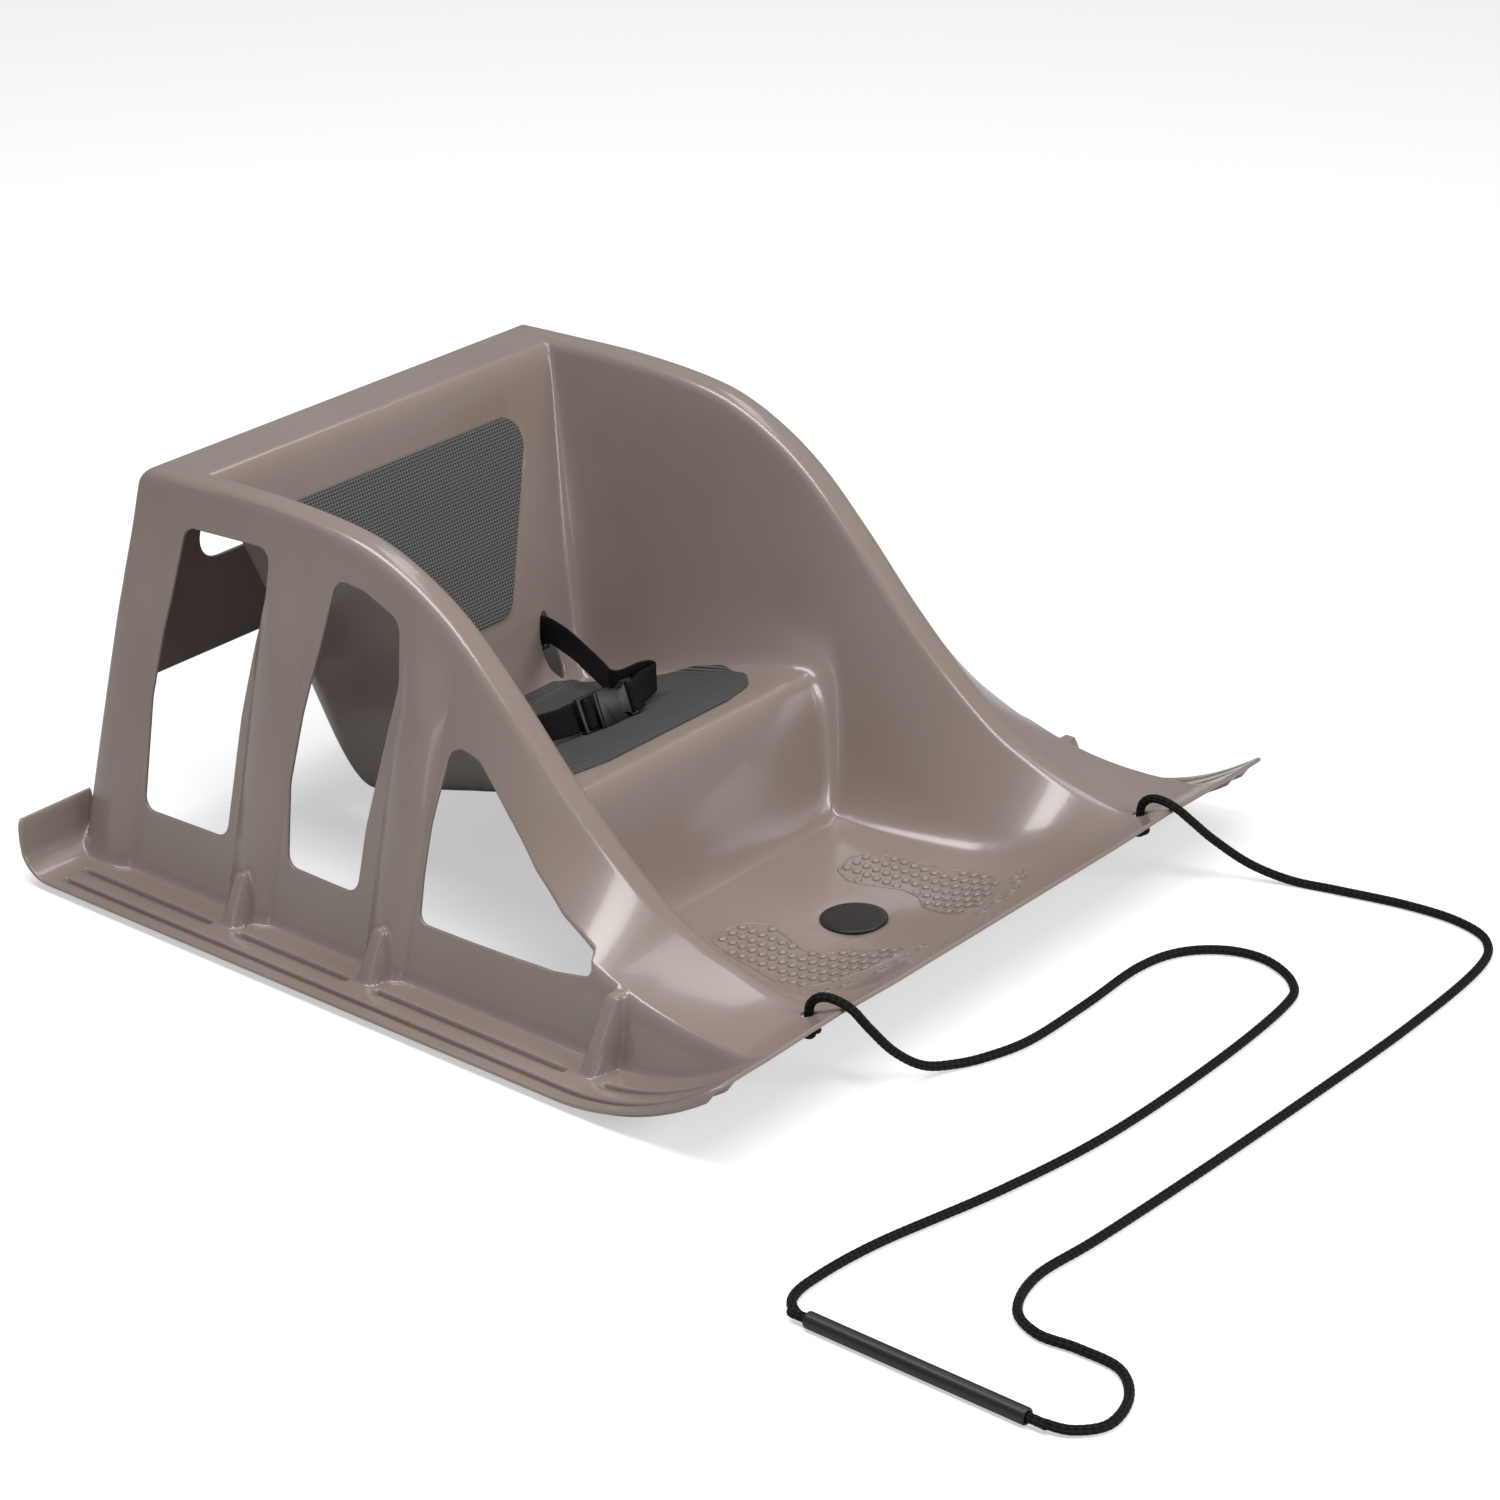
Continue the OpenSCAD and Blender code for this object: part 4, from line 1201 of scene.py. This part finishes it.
    def build(self, webbing: bpy.types.Material, plastic: bpy.types.Material) -> None:
        """Makes the straps, the buckle's pieces and the two stops."""
        left = Piece("belt_left", webbing, Slot.WEBBING, nodes=("strap_left",))
        left.join(self.band(left, self.left()))
        right = Piece("belt_right", webbing, Slot.WEBBING, nodes=("strap_right",))
        made = self.band(right, self.right())
        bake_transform(made)
        right.stand_for(made)
        for name, node, body, width in (
                ("buckle_body", "buckle_socket", Body.SLED, 0.7),
                ("buckle_frame", "buckle_plug", Body.PLUG, 0.45),
                ("latch_upper", "buckle_arm_upper", Body.ARM_UPPER, 0.4),
                ("latch_lower", "buckle_arm_lower", Body.ARM_LOWER, 0.4),
                ("belt_stop_left", "strap_stop_left", Body.SLED, 0.6),
                ("belt_stop_right", "strap_stop_right", Body.SLED, 0.6)):
            piece = Piece(name, plastic, Slot.BUCKLE, body, (node,))
            piece.join(self.rounded_copy(piece, width))


# The pull rope

@dataclass
class PullRope:
    """The braided rope, its two stopper knots and its tube handle."""

    radius: float = 3.0
    rest: float = 3.1
    handle_at: tuple[float, float, float] = (-378.0, -434.0, 5.0)
    handle_len: float = 146.0
    handle_r: float = 5.0
    bore_r: float = 3.3
    knot_at: tuple[float, float, float] = (173.0, -272.0, 38.5)
    knot_r: float = 2.6
    pitch: float = 8.5

    def route(self) -> Array:
        """The rope's line, from the knot on -X over the nose, round on the ground and back to +X."""
        rz, (hx, hy, hz), hl = self.rest, self.handle_at, self.handle_len
        return np.array([
            [-173, -272, 38.5], [-173, -272, 50], [-172.8, -273.6, 56.1], [-172, -278.1, 60.6],
            [-170.5, -284.2, 62.2], [-168, -291.5, 60.6], [-165, -299, 56], [-159, -307, 44],
            [-143, -313, 24], [-124, -320, 9],
            [-104, -328, rz + 0.6], [-82, -338, rz], [-48, -346, rz], [10, -346, rz], [68, -344, rz],
            [102, -353, rz], [123, -375, rz], [127, -402, rz], [112, -430, rz], [84, -442, rz], [0, -448, rz],
            [-110, -447, rz], [-200, -435, rz], [-290, -415, rz], [-342, -410, rz], [-366, -414, rz + 0.6],
            [hx + 1.4, hy + 8, hz - 0.6], [hx, hy - 1, hz], [hx, hy - hl + 1, hz],
            [hx + 1.2, hy - hl - 9, hz - 0.6], [-371, -604, rz + 0.4], [-354, -615, rz], [-328, -609, rz],
            [-309, -590, rz], [-307, -562, rz], [-309, -536, rz], [-296, -514, rz], [-262, -503, rz],
            [-210, -507, rz], [-120, -511, rz], [0, -514, rz], [110, -515, rz], [200, -510, rz],
            [236, -496, rz], [249, -468, rz], [248, -430, rz], [238, -385, rz], [230, -354, rz + 0.4],
            [217, -330, 13], [199, -313, 32], [185, -304.5, 48], [178.5, -298.5, 56.5], [175.5, -291.5, 60.8],
            [174, -284.2, 62.2], [173.3, -278.1, 60.6], [173, -273.6, 56.1], [173, -272, 50],
            [173, -272, 38.5]], float)

    def line(self) -> Array:
        """Even points on the rope's curve; its stretch in the handle stays on the handle's axis."""
        path = smooth_path(self.route(), 1.6)
        hx, hy, hz = self.handle_at
        held = (np.abs(path[:, 0] - hx) < 6) & (path[:, 1] < hy) & (path[:, 1] > hy - self.handle_len)
        path[held, 0], path[held, 2] = hx, hz
        return path

    def braid(self, piece: Piece, path: Array, radius: float, sides: int = 24) -> bpy.types.Object:
        """Sweeps a round section whose radius swells where two sets of strands cross."""
        first, second = carried_frame(path)
        length = distances(path)
        turn = np.linspace(0, 1, sides + 1)
        along = length[:, None] / self.pitch
        cross = np.cos(2 * np.pi * (4 * turn[None, :-1] + along)) * np.cos(
            2 * np.pi * (4 * turn[None, :-1] - along))
        r = radius * (0.955 + 0.06 * cross)
        a = 2 * np.pi * turn[:-1]
        rings = path[:, None] + r[..., None] * (np.cos(a)[None, :, None] * first[:, None]
                                                + np.sin(a)[None, :, None] * second[:, None])
        points, faces, uv = capped_tube(rings, length * MM, turn)
        return piece.make(points, faces, uv)

    def knot(self, side: int) -> Array:
        """A tight overhand knot's line: two turns about the middle while it goes up and down three times."""
        t = np.linspace(0, 2 * np.pi, 121)
        wide = 3.7 + 1.5 * np.cos(3 * t)
        flat = np.stack([wide * np.cos(2 * t) * side, wide * np.sin(2 * t), 1.9 * np.sin(3 * t)], 1)
        return flat + np.array(self.knot_at) * [side, 1, 1] + [0, 0, -0.6]

    def handle(self, piece: Piece) -> bpy.types.Object:
        """Turns the tube's wall section, with broken edges, about its own axis."""
        hx, hy, hz = self.handle_at
        ro, ri, n = self.handle_r, self.bore_r, self.handle_len
        section = np.array([[ri + 0.4, 0], [ro - 0.9, 0], [ro - 0.3, 0.25], [ro, 0.9], [ro, 1.4], [ro, n / 2],
                            [ro, n - 1.4], [ro, n - 0.9], [ro - 0.3, n - 0.25], [ro - 0.9, n], [ri + 0.4, n],
                            [ri, n - 0.5], [ri, n / 2], [ri, 0.5]])
        section = np.concatenate([section, section[:1]])
        a = np.linspace(0, 2 * np.pi, 49)[:-1]
        rings = np.stack([hx + section[:, :1] * np.cos(a), hy - np.repeat(section[:, 1:], 48, 1),
                          hz + section[:, :1] * np.sin(a)], 2)
        faces = tube_faces(len(section), 48) % ((len(section) - 1) * 48)
        points = rings[:-1].reshape(-1, 3)
        return piece.make(points, faces[:, ::-1])

    def build(self, braid: bpy.types.Material, tube: bpy.types.Material) -> None:
        grip = Piece("tube_handle", tube, Slot.HANDLE, Body.HANDLE, ("pull_handle",))
        handle = grip.join(self.handle(grip))
        for side, word in ((1, "left"), (-1, "right")):
            piece = Piece(f"knot_{word}", braid, Slot.ROPE, nodes=(f"rope_knot_{word}",))
            piece.join(self.braid(piece, self.knot(side), self.knot_r, 16))
        rope = Piece("braided_rope", braid, Slot.ROPE, nodes=("pull_rope",))
        path = self.line()
        made = rope.join(self.braid(rope, path, self.radius))


@dataclass
class Badge:
    """The bare round disc in the footwell: a low dome with a rolled rim."""

    at: tuple[float, float] = (-171.6, 8.5)
    tilt: float = math.radians(-3.5)

    def build(self, finish: bpy.types.Material) -> None:
        """Turns the disc's section about its axis and tilts it with the floor."""
        section = np.array([[0.0, 0], [12, 0], [21.4, 0], [21.85, 0.25], [22, 0.8], [22, 1.5], [21.75, 1.8],
                            [21.3, 1.95], [18, 1.99], [9, 2.0], [0.0, 2.0]])
        a = np.linspace(0, 2 * np.pi, 97)[:-1]
        x = section[:, :1] * np.cos(a)
        y = section[:, :1] * np.sin(a)
        z = np.repeat(section[:, 1:], 96, 1) - 0.8
        s, c = math.sin(self.tilt), math.cos(self.tilt)
        turned = np.stack([x, self.at[0] + y * c - z * s, self.at[1] + y * s + z * c], 2)
        piece = Piece("badge", finish, Slot.BADGE, nodes=("badge_disc",))
        piece.join(piece.make(turned.reshape(-1, 3), tube_faces(len(section), 96)))


# Camera, floor and light

@dataclass
class Studio:
    """A pale sweep of floor, soft lamps and the camera of the photograph."""

    lens: float = 99.694
    seat: tuple[float, float, float] = (-1.8640, -1.6050, 1.2357)
    turn: tuple[float, float, float] = (64.7534, 0.0, -50.8256)
    floor_glow: float = 0.50
    surround: float = 0.25

    def camera(self) -> None:
        """Makes the scene's camera."""
        data = bpy.data.cameras.new("camera")
        data.lens, data.sensor_width, data.clip_end = self.lens, 36.0, 50.0
        made = placed("camera", data)
        made.location = self.seat
        made.rotation_euler = [math.radians(t) for t in self.turn]
        bpy.context.scene.camera = made

    def floor(self) -> None:
        """Makes the floor: a wide disc that looks white to the camera and keeps the shadow."""
        a = np.linspace(0, 2 * np.pi, 65)[:-1]
        rings = np.concatenate([r * np.stack([np.cos(a), np.sin(a), 0 * a], 1) for r in (0.001, 2.0, 9.0)])
        faces = tube_faces(3, 64)
        mesh = bpy.data.meshes.new("floor")
        mesh.from_pydata(rings.tolist(), [], faces[:, ::-1].tolist() + [list(range(64))])
        paint = Paint("white_floor")
        paint.constants(Base_Color=(0.62, 0.62, 0.62, 1), Roughness=0.9)
        glow = paint.node("ShaderNodeEmission", sockets={"Color": (1, 1, 1, 1), "Strength": self.floor_glow})
        both = paint.node("ShaderNodeAddShader", sockets={0: paint.shader.outputs[0], 1: glow.outputs[0]})
        seen = paint.node("ShaderNodeLightPath").outputs["Is Camera Ray"]
        mixed = paint.node("ShaderNodeMixShader", sockets={
            0: seen, 1: paint.shader.outputs[0], 2: both.outputs[0]})
        paint.tree.links.new(mixed.outputs[0], paint.output.inputs["Surface"])
        mesh.materials.append(paint.material)
        made = placed("floor", mesh)
        made.location.z = -0.0002

    def lamp(self, name: str, at: Sequence[float], aim: Sequence[float], size: tuple[float, float],
             power: float) -> None:
        """Adds a rectangular soft lamp at one point that faces another."""
        data = bpy.data.lights.new(name, "AREA")
        data.shape, data.size, data.size_y, data.energy = "RECTANGLE", size[0], size[1], power
        made = placed(name, data)
        way = np.array(aim, float) - np.array(at, float)
        flat = math.hypot(way[0], way[1])
        made.location = at
        made.rotation_euler = (math.atan2(flat, -way[2]), 0, math.atan2(-way[0], way[1]))

    def world(self) -> None:
        """White for the camera and through clear things, and a softer even light for everything else."""
        made = bpy.data.worlds.new("surround")
        made.use_nodes = True
        nodes, links = made.node_tree.nodes, made.node_tree.links
        nodes.clear()
        path = nodes.new("ShaderNodeLightPath")
        out = nodes.new("ShaderNodeOutputWorld")
        soft, white, mix, seen = (nodes.new(k) for k in (
            "ShaderNodeBackground", "ShaderNodeBackground", "ShaderNodeMixShader", "ShaderNodeMath"))
        seen.operation = "MAXIMUM"
        soft.inputs[1].default_value = self.surround
        white.inputs[0].default_value = (1, 1, 1, 1)
        soft.inputs[0].default_value = (1, 1, 1, 1)
        links.new(path.outputs["Is Camera Ray"], seen.inputs[0])
        links.new(path.outputs["Is Transmission Ray"], seen.inputs[1])
        links.new(seen.outputs[0], mix.inputs[0])
        links.new(soft.outputs[0], mix.inputs[1])
        links.new(white.outputs[0], mix.inputs[2])
        links.new(mix.outputs[0], out.inputs[0])
        bpy.context.scene.world = made

    def build(self) -> None:
        """Sets up camera, floor, lamps and surround."""
        bpy.context.scene.view_settings.view_transform = "Standard"
        self.camera()
        self.floor()
        self.world()
        self.lamp("overhead", (-0.8, -0.1, 2.6), (-0.8, -0.1, 0), (0.6, 3.0), 60)
        self.lamp("far_box", (0.9, 0.3, 2.6), (0.3, 0, 0), (0.7, 2.0), 16)
        self.lamp("front", (0.5, -2.7, 1.7), (0, 0, 0.1), (1.4, 1.0), 42)
        self.lamp("side", (-2.7, -1.3, 0.9), (0, 0, 0.15), (0.4, 1.3), 3)


def main() -> None:
    """Builds the sled's pieces in order."""
    logging.basicConfig(level=logging.INFO, format="%(name)s: %(message)s", force=True)
    shell = MouldedPlastic().build()
    cells = PressedFoam("celled_mat", Press.CELLS, 0.0024, grey(0.125, 0.01)).build()
    ribs = PressedFoam("ribbed_mat", Press.RIBS, 0.0021, grey(0.105, 0.01)).build()
    webbing, braid = Webbing().build(), BraidedCord().build()
    buckle = SatinBlack("buckle_black", 0.006, 0.4).build()
    tube = SatinBlack("handle_black", 0.007, 0.36, 500.0, 0.00002).build()
    disc = SatinBlack("badge_black", 0.006, 0.3, 900.0, 0.00001).build()
    Studio().build()
    PullRope().build(braid, tube)
    form = Moulding()
    form.build(shell)
    Treads(form).build(shell)
    Mats(form).build(cells, ribs)
    Belt(form).build(webbing, buckle)
    Badge().build(disc)


if __name__ == "__main__":
    main()
